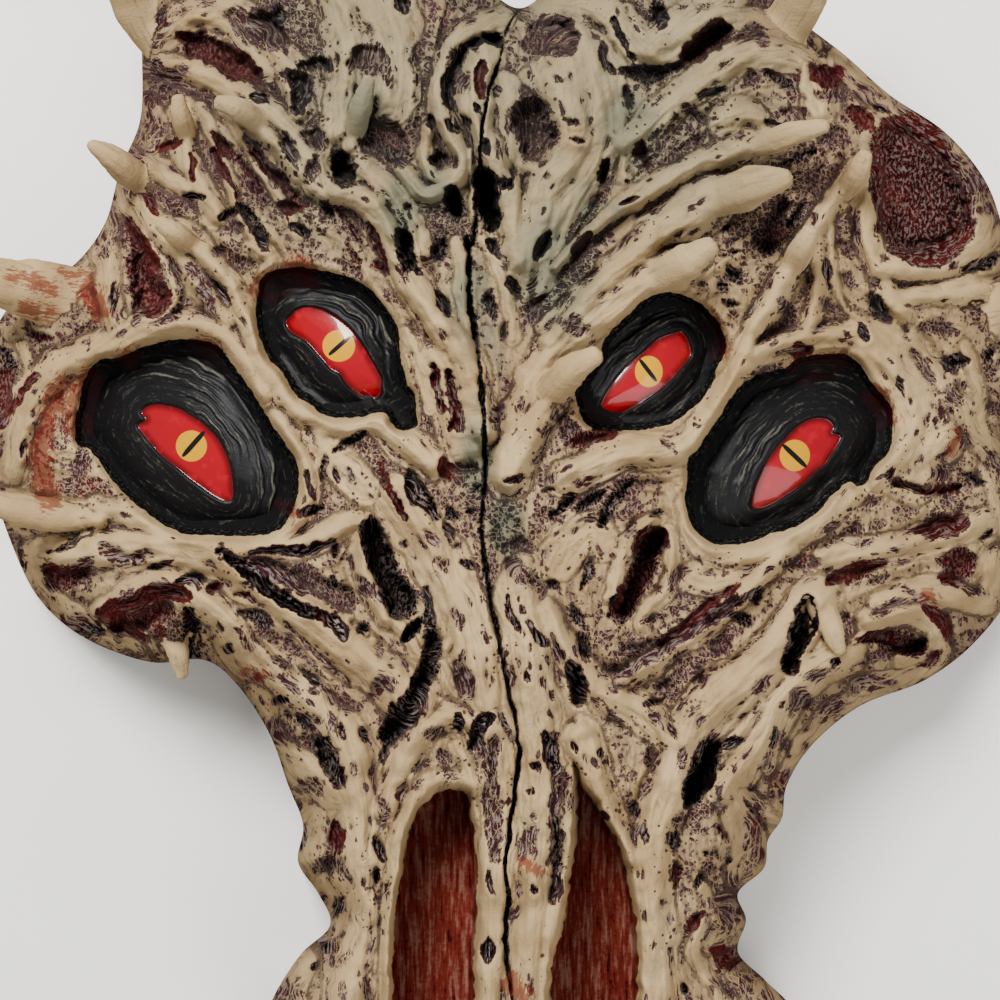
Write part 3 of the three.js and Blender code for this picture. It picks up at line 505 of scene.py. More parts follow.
# Thin red paint on the bone and on the lids, with the same sizes.
STAINS = [
    # Left brow.
    (8, (12, 275), (30, 280), (52, 290)), (12, (85, 285), (100, 310)), (7, (25, 308), (50, 315)),
    (5, (60, 270), (85, 280)), (16, (265, 290), (300, 272)),
    # Right brow.
    (10, (712, 320), (720, 350)),
    # Left of the eyes.
    (12, (62, 385), (45, 425), (42, 470), (50, 498)), (9, (88, 375), (75, 400), (72, 430)),
    (8, (120, 358), (135, 356)), (10, (195, 345), (215, 350)),
    # Right of the eyes.
    (3, (957, 432), (952, 452)), (14, (800, 372), (840, 362)), (8, (880, 390), (890, 420)),
    # Left cheek.
    (6, (248, 672), (262, 676)), (7, (288, 500), (293, 515)),
    # Right cheek.
    (7, (925, 595), (935, 602)),
    # Middle of the jaw.
    (6, (525, 862), (540, 870)), (10, (510, 980), (525, 1000)),
]

# Deep holes painted black, in part a painted shade: half width, depth in mm and the points of
# the middle.
HOLES = [
    # Left of the crown.
    (9, 9, (338, 165), (350, 175)),
    # Middle of the crown.
    (6, 8, (485, 38), (505, 42)),
    # Right of the crown.
    (6, 6, (606, 160), (602, 185)),
    # Middle brow.
    (12, 18, (484, 178), (489, 205), (494, 224)), (11, 12, (453, 190), (459, 216)),
    (8, 9, (398, 232), (408, 255), (412, 268)), (5, 9, (469, 262), (471, 300), (474, 340)),
    (3, 10, (466, 236), (470, 256)),
    # Left cheek.
    (6, 9, (224, 553), (245, 572), (275, 595), (300, 612), (325, 622)),
    (8, 11, (188, 612), (190, 635), (188, 655)), (11, 13, (368, 528), (378, 560), (392, 590), (402, 606)),
    # Middle cheek.
    (6, 6, (405, 640), (418, 622)),
    # Right cheek.
    (8, 7, (615, 600), (622, 620)), (9, 12, (808, 600), (808, 625), (800, 645)),
    (6, 6, (785, 660), (800, 650)),
    # Middle of the jaw.
    (11, 7, (417, 682), (421, 684)),
    # Right of the jaw.
    (11, 12, (712, 765), (700, 782), (688, 805)),
]

# The jaw's two long windows, closed by a floor behind them.
WINDOWS = {
    "left": [
        (412, 815), (420, 802), (435, 792), (450, 787), (470, 793), (472, 810), (477, 835), (480, 870),
        (478, 930), (474, 1000), (472, 1060), (466, 1110), (440, 1138), (410, 1130), (392, 1085),
        (388, 1030), (391, 950), (395, 900), (398, 870), (405, 840),
    ],
    "right": [
        (573, 762), (582, 784), (592, 796), (601, 806), (608, 822), (622, 845), (630, 875), (636, 905),
        (640, 960), (641, 1010), (638, 1080), (620, 1128), (596, 1138), (570, 1125), (553, 1080),
        (546, 1010), (550, 965), (560, 920), (566, 880), (571, 840), (574, 800),
    ],
}

# The eyes: the bony rim's inner edge, the opening between the lids, the iris (middle and radii)
# and the two ends of the slit across it.
EYES = {
    "left_outer": dict(socket=[
        (98, 361), (121, 357), (139, 348), (156, 343), (178, 339), (201, 340), (218, 346), (230, 360),
        (242, 377), (255, 397), (270, 421), (285, 443), (296, 461), (299, 480), (298, 497), (291, 514),
        (282, 528), (262, 535), (239, 536), (208, 535), (187, 534), (170, 528), (156, 520), (144, 511),
        (131, 500), (118, 486), (108, 475), (98, 459), (88, 449), (79, 447), (75, 437), (76, 418),
        (80, 400), (84, 381),
    ], opening=[
        (141, 412), (147, 406), (157, 404), (170, 406), (180, 409), (190, 415), (201, 422), (211, 431),
        (218, 439), (224, 450), (229, 462), (232, 476), (233, 488), (233, 496), (230, 501), (222, 500),
        (211, 494), (200, 486), (188, 477), (176, 467), (163, 457), (152, 445), (144, 435), (138, 427),
        (140, 423), (146, 420), (143, 416),
    ], iris=(191.4, 446, 15.6, 15.6), slit=((204.5, 431.5), (182.5, 456.5))),
    "left_inner": dict(socket=[
        (258, 290), (262, 278), (275, 270), (295, 267), (318, 270), (340, 275), (358, 281), (370, 289),
        (380, 300), (390, 313), (397, 325), (400, 345), (402, 365), (408, 385), (415, 395), (416, 410),
        (417, 425), (409, 430), (399, 430), (392, 424), (388, 416), (382, 413), (371, 414), (362, 417),
        (345, 418), (330, 417), (318, 411), (306, 401), (297, 396), (289, 384), (281, 371), (272, 362),
        (266, 354), (261, 340), (257, 325), (256, 305),
    ], opening=[
        (286, 321), (291, 315), (298, 309), (308, 307), (320, 309), (331, 314), (340, 320), (349, 328),
        (356, 336), (362, 345), (369, 356), (376, 368), (381, 378), (381, 385), (380, 393), (376, 398),
        (370, 399), (362, 396), (353, 390), (345, 382), (340, 374), (331, 369), (323, 360), (316, 352),
        (308, 343), (301, 338), (292, 333), (287, 327),
    ], iris=(338.8, 345.8, 16.4, 16.0), slit=((350.2, 336.2), (328.8, 355))),
    "right_inner": dict(socket=[
        (575, 397), (577, 388), (585, 378), (593, 367), (602, 355), (601, 345), (608, 335), (620, 322),
        (631, 312), (640, 303), (650, 297), (662, 292), (677, 293), (690, 298), (700, 303), (710, 312),
        (718, 322), (724, 335), (726, 348), (722, 360), (717, 368), (715, 378), (710, 388), (703, 398),
        (693, 407), (683, 416), (672, 424), (660, 427), (645, 430), (628, 430), (612, 431), (598, 430),
        (588, 426), (582, 418), (579, 408),
    ], opening=[
        (597, 413), (600, 405), (604, 397), (611, 386), (618, 376), (626, 367), (634, 360), (640, 355),
        (647, 349), (655, 341), (664, 336), (673, 333), (681, 331), (684, 334), (687, 338), (690, 346),
        (691, 353), (688, 360), (683, 366), (676, 374), (669, 381), (662, 388), (652, 395), (640, 403),
        (628, 410), (616, 416), (606, 420), (600, 419),
    ], iris=(648.8, 371.5, 13.9, 15.7), slit=((639.5, 359.2), (656.6, 381.5))),
    "right_outer": dict(socket=[
        (687, 512), (685, 498), (687, 480), (687, 465), (691, 455), (698, 450), (703, 441), (710, 430),
        (718, 419), (725, 407), (730, 399), (737, 390), (746, 381), (757, 375), (770, 371), (785, 368),
        (795, 360), (806, 356), (825, 354), (845, 354), (857, 362), (866, 374), (875, 388), (885, 398),
        (892, 410), (893, 425), (892, 440), (887, 453), (880, 461), (872, 470), (868, 480), (862, 486),
        (856, 486), (850, 482), (843, 485), (838, 490), (830, 497), (823, 507), (815, 514), (805, 520),
        (795, 527), (783, 531), (770, 533), (760, 539), (745, 543), (730, 545), (715, 544), (703, 537),
        (693, 527),
    ], opening=[
        (752, 500), (755, 488), (760, 476), (765, 465), (771, 455), (778, 446), (785, 439), (790, 433),
        (797, 427), (805, 421), (815, 418), (824, 418), (830, 421), (834, 427), (832, 433), (838, 434),
        (841, 437), (836, 447), (830, 456), (824, 465), (814, 473), (805, 482), (794, 490), (783, 497),
        (772, 504), (762, 508), (755, 508), (752, 505),
    ], iris=(794.8, 455.4, 15.2, 15.8), slit=((782.7, 444.6), (806.5, 467))),
}

# Free ends that stand off the face: radii along each in sheet units, and a path whose third
# values are lifts in mm above the surface at its root.
SPINES = {
    "left spike": ([20, 15, 4], [(150, 188, -4), (118, 162, 4), (88, 143, 9)]),
    "left inner tip": ([14, 12, 6], [(268, 130, -3), (240, 110, 4), (215, 101, 7)]),
    "left middle tip": ([13, 10, 5], [(188, 142, -3), (181, 115, 4), (178, 95, 7)]),
    "left knob tip": ([13, 11, 6], [(196, 248, -2), (174, 232, 4), (157, 221, 6)]),
    "left cheek tip": ([18, 17, 5], [(92, 522, -4), (20, 510, 0), (-42, 490, 3)]),
    "left ear horn": ([38, 32, 10], [(120, 300, -16), (30, 290, -14), (-62, 262, 0)]),
    "left fang": ([20, 13, 5], [(160, 612, -5), (176, 646, -6), (182, 679, -8)]),
    "left top horn": ([30, 24, 5], [(170, 60, -22), (128, -20, -14), (112, -135, 12)]),
    "right top horn": ([30, 25, 5], [(765, 50, -20), (805, -10, -14), (826, -130, 12)]),
    "right low tip": ([20, 17, 7], [(645, 286, -2), (688, 261, 4), (716, 243, 6)]),
    "right middle tip": ([22, 20, 7], [(700, 204, -2), (750, 187, 4), (792, 177, 7)]),
    "right high tip": ([13, 12, 6], [(745, 150, -2), (790, 134, 4), (829, 126, 6)]),
    "right small tip": ([20, 16, 7], [(540, 405, -1), (570, 372, 4), (601, 353, 6)]),
    "right high spike": ([16, 12, 6], [(842, 196, -3), (858, 172, 6), (866, 152, 10)]),
    "right low spike": ([16, 12, 6], [(790, 272, -3), (804, 246, 5), (812, 227, 8)]),
    "right fang": ([20, 13, 5], [(815, 590, -4), (830, 625, -2), (841, 654, -3)]),
    "right ear horn": ([36, 28, 9], [(955, 318, -14), (1018, 305, -10), (1080, 282, 2)]),
    "crown tooth": ([13, 11, 5], [(350, 142, -2), (361, 106, 5), (370, 76, 8)]),
}

# Small pits all over the bone: the cell of the grid that they are scattered on, their least and
# greatest radius and their length over their width; their depth in mm; the width of the band in
# which their paint fades; how much of it is scratched; and the seed of their places.
SMALL_PITS = [
    dict(cell=12, small=0.9, large=3.0, stretch=2.1, depth=0.9, fade=6, scratched=0.4, seed=52),
    dict(cell=27, small=2.0, large=7, stretch=2.0, depth=1.4, fade=14, scratched=0.9, seed=51),
]

# Spots of smoke-grey paint on the forehead and nose: x, y, half width and half height.
SMOKE_SPOTS = [
    (402, 205, 34, 56), (552, 262, 58, 85), (632, 130, 50, 62), (470, 300, 28, 56), (505, 525, 26, 44),
    (365, 110, 36, 54), (430, 190, 34, 38), (483, 360, 26, 64), (476, 460, 22, 54), (600, 205, 40, 50),
]

# The lamps' places in metres, watts and widths in metres; the light of the room; and the width
# of the camera's film in mm.
LAMPS = {
    "crown lamp": ((-0.35, 0.75, 1.15), 43, 0.5),
    "jaw lamp": ((0.7, -0.6, 1.0), 14, 1.2),
}
ROOM_COLOUR = (0.94, 0.96, 1.0, 1)
ROOM_STRENGTH = 0.34
FILM_WIDTH = 36

# What the paint reads from the raster at each point of the face.
PAINTED = (
    "wash", "pitch", "speckled", "red", "stain", "smoke", "shade", "porous", "floor", "black",
    "highlight_and_wear", "flow_along", "flow_across",
)

# The raster of the sheet and all of its rows and columns. An eye or a window changes it up to
# EDGE_REACH sheet units outside its own outline.
SHEET_X = np.arange(-75.0, 1090.0, STEP)
SHEET_Y = np.arange(-110.0, 1262.0, STEP)
X, Y = np.meshgrid(SHEET_X, SHEET_Y)
EVERYWHERE = (slice(None), slice(None))
EDGE_REACH = 14


def smoothstep(low, high, value):
    """0 below low, 1 above high, and an S-shaped rise between."""
    t = np.clip((value - low) / (high - low), 0, 1)
    return t * t * (3 - 2 * t)


def noise(x, y, size, seed):
    """Smooth random values from -1 to 1: a random lattice, size units apart, blended between."""
    table = np.random.default_rng(seed).uniform(-1, 1, (256, 256))
    u, v = x / size, y / size
    i, j = np.floor(u).astype(int), np.floor(v).astype(int)
    fu, fv = smoothstep(0, 1, u - i), smoothstep(0, 1, v - j)
    near = table[j % 256, i % 256] * (1 - fu) + table[j % 256, (i + 1) % 256] * fu
    far = table[(j + 1) % 256, i % 256] * (1 - fu) + table[(j + 1) % 256, (i + 1) % 256] * fu
    return near * (1 - fv) + far * fv


def smooth_path(points, count):
    """count + 1 points of a curve through the given ones: between two points it is the cubic
    whose slope at each is half the step from the point before it to the point after it."""
    p = np.array(points, float)
    t = np.linspace(0, len(p) - 1, count + 1)
    i = np.minimum(t.astype(int), len(p) - 2)
    f = (t - i)[:, None]
    before, a, b, after = p[np.maximum(i - 1, 0)], p[i], p[i + 1], p[np.minimum(i + 2, len(p) - 1)]
    slope_a, slope_b = (b - before) / 2, (after - a) / 2
    cubic = 2 * a - 2 * b + slope_a + slope_b
    return cubic * f**3 + (3 * (b - a) - 2 * slope_a - slope_b) * f**2 + slope_a * f + a


def smooth_loop(points, steps):
    """A closed curve through the points, by the same cubic, with steps pieces between two."""
    around = [points[-1], *points, *points[:2]]
    return smooth_path(around, steps * (len(around) - 1))[steps : steps * (len(points) + 1) + 1]


def path_length(path):
    """The sum of the lengths of a path's pieces."""
    return np.linalg.norm(np.diff(path, axis=0), axis=1).sum()


def traced_path(points, step):
    """The smooth curve through a feature's points, in pieces about step long."""
    length = path_length(smooth_path(points, 20))
    return smooth_path(points, max(3, int(length / step)))


def even_path(points, shares, first=0, last=None):
    """Points of the smooth curve at the given shares of its length, or of the length from one
    of the given points to another."""
    last = len(points) - 1 if last is None else last
    fine = smooth_path(points, 40 * (len(points) - 1))[40 * first : 40 * last + 1]
    run = np.concatenate([[0], np.cumsum(np.linalg.norm(np.diff(fine, axis=0), axis=1))])
    return np.stack([np.interp(shares * run[-1], run, fine[:, k]) for k in (0, 1)], axis=1)


def nearest(path, x, y):
    """For each point: its distance to the path, the share of the way along, its distance with a
    sign for the side, and the path's direction there as an angle."""
    away = np.full(x.shape, np.inf)
    along, across, angle = np.zeros(x.shape), np.zeros(x.shape), np.zeros(x.shape)
    for i, (start, step) in enumerate(zip(path[:-1], np.diff(path, axis=0))):
        share = np.clip(((x - start[0]) * step[0] + (y - start[1]) * step[1]) / (step @ step), 0, 1)
        dx, dy = x - start[0] - share * step[0], y - start[1] - share * step[1]
        distance = np.hypot(dx, dy)
        closer = distance < away
        away = np.where(closer, distance, away)
        along = np.where(closer, (i + share) / (len(path) - 1), along)
        across = np.where(closer, distance * np.sign(step[0] * dy - step[1] * dx), across)
        angle = np.where(closer, math.atan2(step[1], step[0]), angle)
    return away, along, across, angle


def window(path, reach):
    """The rows and columns of the raster within reach of a path."""
    low, high = path.min(axis=0) - reach, path.max(axis=0) + reach
    rows = slice(*np.clip(np.searchsorted(SHEET_Y, [low[1], high[1]]), 1, len(SHEET_Y) - 1))
    columns = slice(*np.clip(np.searchsorted(SHEET_X, [low[0], high[0]]), 1, len(SHEET_X) - 1))
    return rows, columns


def blurred(field, radius):
    """The field averaged over a soft round spot, by three passes of a moving average."""
    count = max(1, int(round(radius / STEP)))
    for _ in range(3):
        for axis in (0, 1):
            size = field.shape[axis]
            spots = np.clip(np.arange(-count - 1, size + count), 0, size - 1)
            total = np.cumsum(np.take(field, spots, axis=axis), axis=axis)
            above = np.take(total, np.arange(2 * count + 1, 2 * count + 1 + size), axis=axis)
            field = (above - np.take(total, np.arange(size), axis=axis)) / (2 * count + 1)
    return field


def sample(field, x, y):
    """The raster's value at any points of the sheet, blended between its four neighbours."""
    u = np.clip((x - SHEET_X[0]) / STEP, 0, len(SHEET_X) - 1.001)
    v = np.clip((y - SHEET_Y[0]) / STEP, 0, len(SHEET_Y) - 1.001)
    i, j = u.astype(int), v.astype(int)
    fu, fv = u - i, v - j
    near = field[j, i] * (1 - fu) + field[j, i + 1] * fu
    far = field[j + 1, i] * (1 - fu) + field[j + 1, i + 1] * fu
    return near * (1 - fv) + far * fv


def reach_inside(loop, x, y):
    """How far each point lies inside a closed outline, in sheet units, and negative outside: a
    line to its right crosses the outline an odd number of times when it is inside."""
    crossings = np.zeros(x.shape, int)
    for (ax, ay), (bx, by) in zip(loop[:-1], loop[1:]):
        if ay != by:
            between = (ay > y) != (by > y)
            crossings += between & (x < ax + (y - ay) * (bx - ax) / (by - ay))
    away = nearest(loop, x, y)[0]
    return np.where(crossings % 2 == 1, away, -away)


# The whole rim as one closed path.
EVEN_SHARES = np.linspace(0, 1, 121)
RIM_PATH = np.concatenate([
    even_path(LEFT_SIDE, EVEN_SHARES)[:-1],
    even_path(CROWN, EVEN_SHARES[::3])[:-1],
    even_path(RIGHT_SIDE, EVEN_SHARES[::-1])[:-1],
    even_path(CHIN, EVEN_SHARES[::-5]),
])


def rim_distance():
    """The distance of the raster's points from the rim, in sheet units and no more than two
    shoulders, with 0 outside it. Row by row, a point is inside where an odd number of the rim's
    crossings lie to its right."""
    inside = np.zeros(X.shape, bool)
    for (ax, ay), (bx, by) in zip(RIM_PATH[:-1], RIM_PATH[1:]):
        if ay != by:
            rows = slice(*np.searchsorted(SHEET_Y, sorted((ay, by))))
            inside[rows] ^= X[rows] < ax + (Y[rows] - ay) * (bx - ax) / (by - ay)
    reach = 2 * SHOULDER / SHEET_MM
    away = np.full(X.shape, reach)
    for i in range(0, len(RIM_PATH) - 1, 6):
        stretch = RIM_PATH[i : i + 7]
        spot = window(stretch, reach)
        away[spot] = np.minimum(away[spot], nearest(stretch, X[spot], Y[spot])[0])
    return np.where(inside, away, 0)


def face_form(x, y):
    """The face before it is carved, in mm above the rim: highest along the nose and lower to the
    sides, crown and chin."""
    nose_y, crown_y, chin_y = 640, 120, 900
    off = np.abs(x - NOSE_X)
    across = 1 - (off / 620) ** 2.2
    crown_fall = 1 - 0.3 * (np.maximum(0, crown_y - y) / 200) ** 1.5
    chin_fall = 1 - 0.3 * (np.maximum(0, y - chin_y) / 330) ** 2
    nose = NOSE_RISE * np.exp(-((off / 110) ** 2) - ((y - nose_y) / 210) ** 2)
    return FACE_HEIGHT * across * crown_fall * chin_fall + nose


# A slow wander of a few units keeps the struts and pits from running as drawn curves. Their
# edges are ragged, their widths swell and shrink, and their heights are uneven.
WANDER_X = X + 1.8 * noise(X, Y, 30, 1) + 1.4 * noise(X, Y, 10, 2)
WANDER_Y = Y + 1.8 * noise(X, Y, 30, 3) + 1.4 * noise(X, Y, 10, 4)
RAGGED = 1.1 * noise(X, Y, 7, 31) + 0.9 * noise(X, Y, 3.6, 32)
SWELL = noise(X, Y, 26, 33)
UNEVEN = 1 + 0.2 * noise(X, Y, 38, 34) + 0.1 * noise(X, Y, 13, 35)


def traced(features):
    """Each feature with its window of the raster: the distance from its path and its half width
    there, the way along it and across it in mm, its direction, and its other sizes."""
    for start, end, *sizes, points in features:
        path = traced_path(points, 7)
        spot = window(path, 2.4 * max(start, end) + 8)
        away, along, across, angle = nearest(path, WANDER_X[spot], WANDER_Y[spot])
        width = start + (end - start) * along
        along = along * path_length(path) * SHEET_MM
        yield spot, away, width, along, across * SHEET_MM, angle, sizes


def empty_sheet():
    """The raster's fields before the carving: all 0, but for a weak direction away from the
    middle of the face, and a flow that runs down it."""
    names = "raised crest cut lip calm socket opened turn_x turn_y".split()
    names += "wash red speckled pitch stain black floor smoke".split()
    sheet = {name: np.zeros(X.shape) for name in names}
    middle_x, middle_y, weak = 495, 480, 0.02
    outward = np.arctan2(Y - middle_y, X - middle_x)
    sheet["turn_x"] += weak * np.cos(2 * outward)
    sheet["turn_y"] += weak * np.sin(2 * outward)
    sheet["flow_along"], sheet["flow_across"] = 2.2 * Y * SHEET_MM, X * SHEET_MM
    return sheet


def at_least(sheet, spot, **values):
    """Raises the named fields of the sheet to the given values where they are lower."""
    for name, value in values.items():
        sheet[name][spot] = np.maximum(sheet[name][spot], value)


def raise_struts(sheet):
    """Joins the struts and ridges with the uneven ground between them into one relief, the fifth
    root of the sum of their fifth powers. A strut's profile is a round back with a wide skirt.
    Their directions are averaged as doubled angles, so that opposite ways count as one, and the
    paint flows along the nearest strut."""
    power = 5
    closest = np.full(X.shape, 1.4)
    sheet["raised"] += (GROUND_RISE * UNEVEN) ** power
    features = traced([*STRUTS.values(), *RIDGES])
    for spot, away, width, along, across, angle, (size,) in features:
        share = away / width * (1 + 0.22 * SWELL[spot])
        back = np.maximum(0, 1 - (share / 1.16) ** 2) ** 0.6
        profile = (0.78 * back + 0.22 * np.exp(-(share**2.5))) * UNEVEN[spot]
        sheet["raised"][spot] += (size * profile) ** power
        at_least(sheet, spot, crest=np.exp(-(share**2)))
        weight = np.exp(-((share / 1.6) ** 2))
        sheet["turn_x"][spot] += weight * np.cos(2 * angle)
        sheet["turn_y"][spot] += weight * np.sin(2 * angle)
        nearer = share < closest[spot]
        closest[spot] = np.where(nearer, share, closest[spot])
        sheet["flow_along"][spot] = np.where(nearer, along, sheet["flow_along"][spot])
        sheet["flow_across"][spot] = np.where(nearer, across, sheet["flow_across"][spot])
    sheet["raised"] **= 1 / power
    sheet["flow_along"] += 1.2 * noise(X, Y, 15, 21)
    sheet["flow_across"] += 1.2 * noise(X, Y, 15, 22)
    sheet["turn"] = np.arctan2(blurred(sheet["turn_y"], 10), blurred(sheet["turn_x"], 10)) / 2


def strands(turn, steps, size, seed):
    """Random grain drawn out along the struts: the mean of a fine noise at the places that a
    walk both ways along their direction meets, spread to a deviation of 1."""
    grain = noise(X, Y, size, seed)
    cosine, sine = np.cos(turn), np.sin(turn)
    total = grain.copy()
    for way in (1, -1):
        x, y, ahead_x, ahead_y = X, Y, way * cosine, way * sine
        for _ in range(steps):
            x = np.clip(x + 2 * ahead_x, SHEET_X[0], SHEET_X[-1])
            y = np.clip(y + 2 * ahead_y, SHEET_Y[0], SHEET_Y[-1])
            row, column = ((y - SHEET_Y[0]) / STEP).astype(int), ((x - SHEET_X[0]) / STEP).astype(int)
            next_x, next_y = cosine[row, column], sine[row, column]
            turned = np.where(next_x * ahead_x + next_y * ahead_y < 0, -1, 1)
            ahead_x, ahead_y = turned * next_x, turned * next_y
            total += grain[row, column]
    total -= total.mean()
    return total / total.std()


def press(sheet, spot, inside, width, depth, fade, **paint):
    """Presses a hollow where inside, the distance in sheet units from its edge, is above 0: a
    wall that is wider in a deep hollow, a flat bottom and a low lip. Its paint is at half
    strength on the edge and grows across a band of the width fade."""
    wall = np.minimum(0.8 * width, 3 + 0.35 * depth / SHEET_MM)
    lip_at, lip_width = -3, 2.2
    at_least(
        sheet, spot,
        cut=depth * smoothstep(-0.4, wall, inside),
        lip=np.exp(-(((inside - lip_at) / lip_width) ** 2)),
    )
    mark = np.clip(0.5 + inside / fade, 0, 1)
    at_least(sheet, spot, wash=mark, **{name: amount * mark for name, amount in paint.items()})


def press_pit(sheet, points, width, depth, fade, paint):
    """Presses a pit along its traced middle: it narrows towards its ends to just over half of
    its width, swells and shrinks, and has a ragged edge."""
    path = traced_path(points, 6)
    spot = window(path, width + 12)
    away, along = nearest(path, WANDER_X[spot], WANDER_Y[spot])[:2]
    taper = np.maximum(0.58, (4 * along * (1 - along)) ** 0.35)
    inside = width * taper * (1 + 0.45 * SWELL[spot]) - away + min(1.2, width / 4) * RAGGED[spot]
    press(sheet, spot, inside, width, depth, fade, **paint)


def press_hollows(sheet):
    """The broad hollows between the struts, black in the deep ones, then the traced pits, the
    holes and the crack. The black in the deep hollows, the holes and the crack is partly painted
    shade. A traced pit's depth is its kind's least depth plus the kind's rise times its half width."""
    deep, hollow_fade, hole_fade = 8, 9, 7
    for spot, away, width, *_, (depth, redness) in traced(HOLLOWS.values()):
        inside = width - away + 2 * RAGGED[spot]
        # Deep hollows are painted partly black, in part a painted shade.
        black = 0.4 * (depth > deep)
        press(sheet, spot, inside, width, depth, hollow_fade, red=redness, speckled=0.5, pitch=black)
    for pits, least, rise, fade, paint in (
        (SPECKLED, 0.5, 0.18, 12, {"speckled": 1.0}),
        (DARK, 1.0, 0.34, 7, {"speckled": 0.2, "pitch": 0.4}),
        (WINE_RED, 0.9, 0.36, 7, {"speckled": 0.3, "red": 1.0}),
    ):
        for width, *points in pits:
            press_pit(sheet, points, width, least + rise * width, fade, paint)
    for width, depth, *points in HOLES:
        press_pit(sheet, points, width, depth, hole_fade, {"pitch": 1.0})
    # The crack is painted black along its length, in part a painted shade.
    press_pit(sheet, CRACK, CRACK_WIDTH, CRACK_DEPTH, hole_fade, {"pitch": 1.0})


def stain_and_smoke(sheet):
    """The red stains, which fade out over a wide band round their traced middles, and the smoke:
    soft oval spots, and a thinner grey over the middle of the crown, which darkens it."""
    fade = 20
    for width, *points in STAINS:
        path = smooth_path(points, 8)
        spot = window(path, 3 * width)
        inside = width - nearest(path, WANDER_X[spot], WANDER_Y[spot])[0] + 3 * RAGGED[spot]
        at_least(sheet, spot, stain=np.clip(0.5 + inside / fade, 0, 1))
    for x, y, wide, high in SMOKE_SPOTS:
        share = np.hypot((X - x) / wide, (Y - y) / high)
        at_least(sheet, EVERYWHERE, smoke=1 - smoothstep(0.3, 1.25, share))
    # A thinner grey over the middle of the crown, which darkens it.
    upper, middle = 1 - smoothstep(150, 330, Y), 1 - smoothstep(180, 360, np.abs(X - SHEET_MIDDLE))
    at_least(sheet, EVERYWHERE, smoke=0.6 * (upper * middle))


def scattered_pits(cell, small, large, stretch, seed, amount, turn):
    """The distance inside the nearest of the small pits, or less than 0: there is one at most to
    a cell of a jittered grid, fewer where amount is low, and each is drawn out along the
    struts."""
    tables = np.random.default_rng(seed).random((4, 256, 256))
    i, j = np.floor(WANDER_X / cell).astype(int), np.floor(WANDER_Y / cell).astype(int)
    best = np.full(X.shape, -9.0)
    for di in (-1, 0, 1):
        for dj in (-1, 0, 1):
            jitter_x, jitter_y, chance, dice = tables[:, (j + dj) % 256, (i + di) % 256]
            px, py = (i + di + jitter_x) * cell, (j + dj + jitter_y) * cell
            row = np.clip(((py - SHEET_Y[0]) / STEP).astype(int), 0, len(SHEET_Y) - 1)
            column = np.clip(((px - SHEET_X[0]) / STEP).astype(int), 0, len(SHEET_X) - 1)
            angle = turn[row, column]
            size = small + (large - small) * chance**2 - 20 * (dice > amount[row, column])
            dx, dy = WANDER_X - px, WANDER_Y - py
            u = dx * np.cos(angle) + dy * np.sin(angle)
            v = dy * np.cos(angle) - dx * np.sin(angle)
            best = np.maximum(best, size - np.hypot(u / stretch, v))
    return best


def eye_shape(eye, x, y):
    """An eye's relief against the face in mm, the distances in mm into its socket and out of its
    opening, and the folds of its lids. The relief is a bowl with a ball in it, whose height is a
    quarter circle of the share of the way from the middle to the socket's edge, and two lids
    that part at the opening, with folds that run round it and are deepest above it. A fold is a
    wave of the distance from the opening, bent by noise, with a finer wave on it."""
    into = reach_inside(smooth_loop(eye["socket"], 3), x, y) * SHEET_MM
    past = -reach_inside(smooth_loop(eye["opening"], 3), x, y) * SHEET_MM
    middle = np.mean(eye["opening"], axis=0)
    off = np.hypot(x - middle[0], y - middle[1]) * SHEET_MM
    share = off / (off + np.maximum(into, 0) + 0.001)
    top, foot = np.array(eye["slit"])
    up = (top - foot) / np.linalg.norm(top - foot)
    above = smoothstep(-25, 30, (x - middle[0]) * up[0] + (y - middle[1]) * up[1])
    bowl = smoothstep(-1.0, 4.5, into)
    ball = np.sqrt(np.maximum(0, 1 - (share / 0.88) ** 2))
    lid = LID_THICKNESS * smoothstep(-0.1, 0.6, past) * (1 - smoothstep(0.8, 1.0, share))
    wave = 2 * math.pi * past / LID_FOLD + 2.6 * noise(x, y, 34, 11) + 1.2 * noise(x, y, 12, 12)
    folds = 0.65 * np.sin(wave) + 0.5 * np.sin(2.2 * wave + 2.5 * noise(x, y, 17, 14))
    folds *= smoothstep(0.5, 2.0, past) * (1 - smoothstep(0.8, 0.97, share))
    folds *= (0.25 + 0.75 * above) * smoothstep(-0.7, 0.5, noise(x, y, 40, 13))
    relief = (EYEBALL_RISE * ball - SOCKET_DEPTH + lid + 0.45 * folds) * bowl
    return relief, into, past, folds


def sink_sockets(sheet):
    """The eyes' bowls, with the eyeballs and lids. The carving calms down at their edges."""
    for eye in EYES.values():
        spot = window(np.array(eye["socket"], float), EDGE_REACH)
        relief, into = eye_shape(eye, X[spot], Y[spot])[:2]
        sheet["socket"][spot] = np.minimum(sheet["socket"][spot], relief)
        black = np.clip(0.5 + into / SHEET_MM / 6 + 0.12 * RAGGED[spot], 0, 1)
        at_least(sheet, spot, calm=smoothstep(-1.9, 0.4, into), black=black)


def open_windows(sheet):
    """The jaw's windows: a steep wall all round and a floor with grooves that run down it."""
    for outline in WINDOWS.values():
        loop = smooth_loop(outline, 3)
        spot = window(loop, EDGE_REACH)
        x, y = X[spot], Y[spot]
        into = reach_inside(loop, WANDER_X[spot], WANDER_Y[spot]) * SHEET_MM
        grooves = 0.5 * noise(x, y * 0.15, 6, 71) + 0.25 * noise(x, y * 0.3, 2.6, 72)
        at_least(
            sheet, spot,
            opened=(WINDOW_DEPTH + grooves) * smoothstep(-0.4, 2.2, into),
            calm=smoothstep(-0.8, 0.8, into),
            floor=np.clip(0.5 + (into / SHEET_MM - 3 + 1.5 * RAGGED[spot]) / 6, 0, 1),
        )


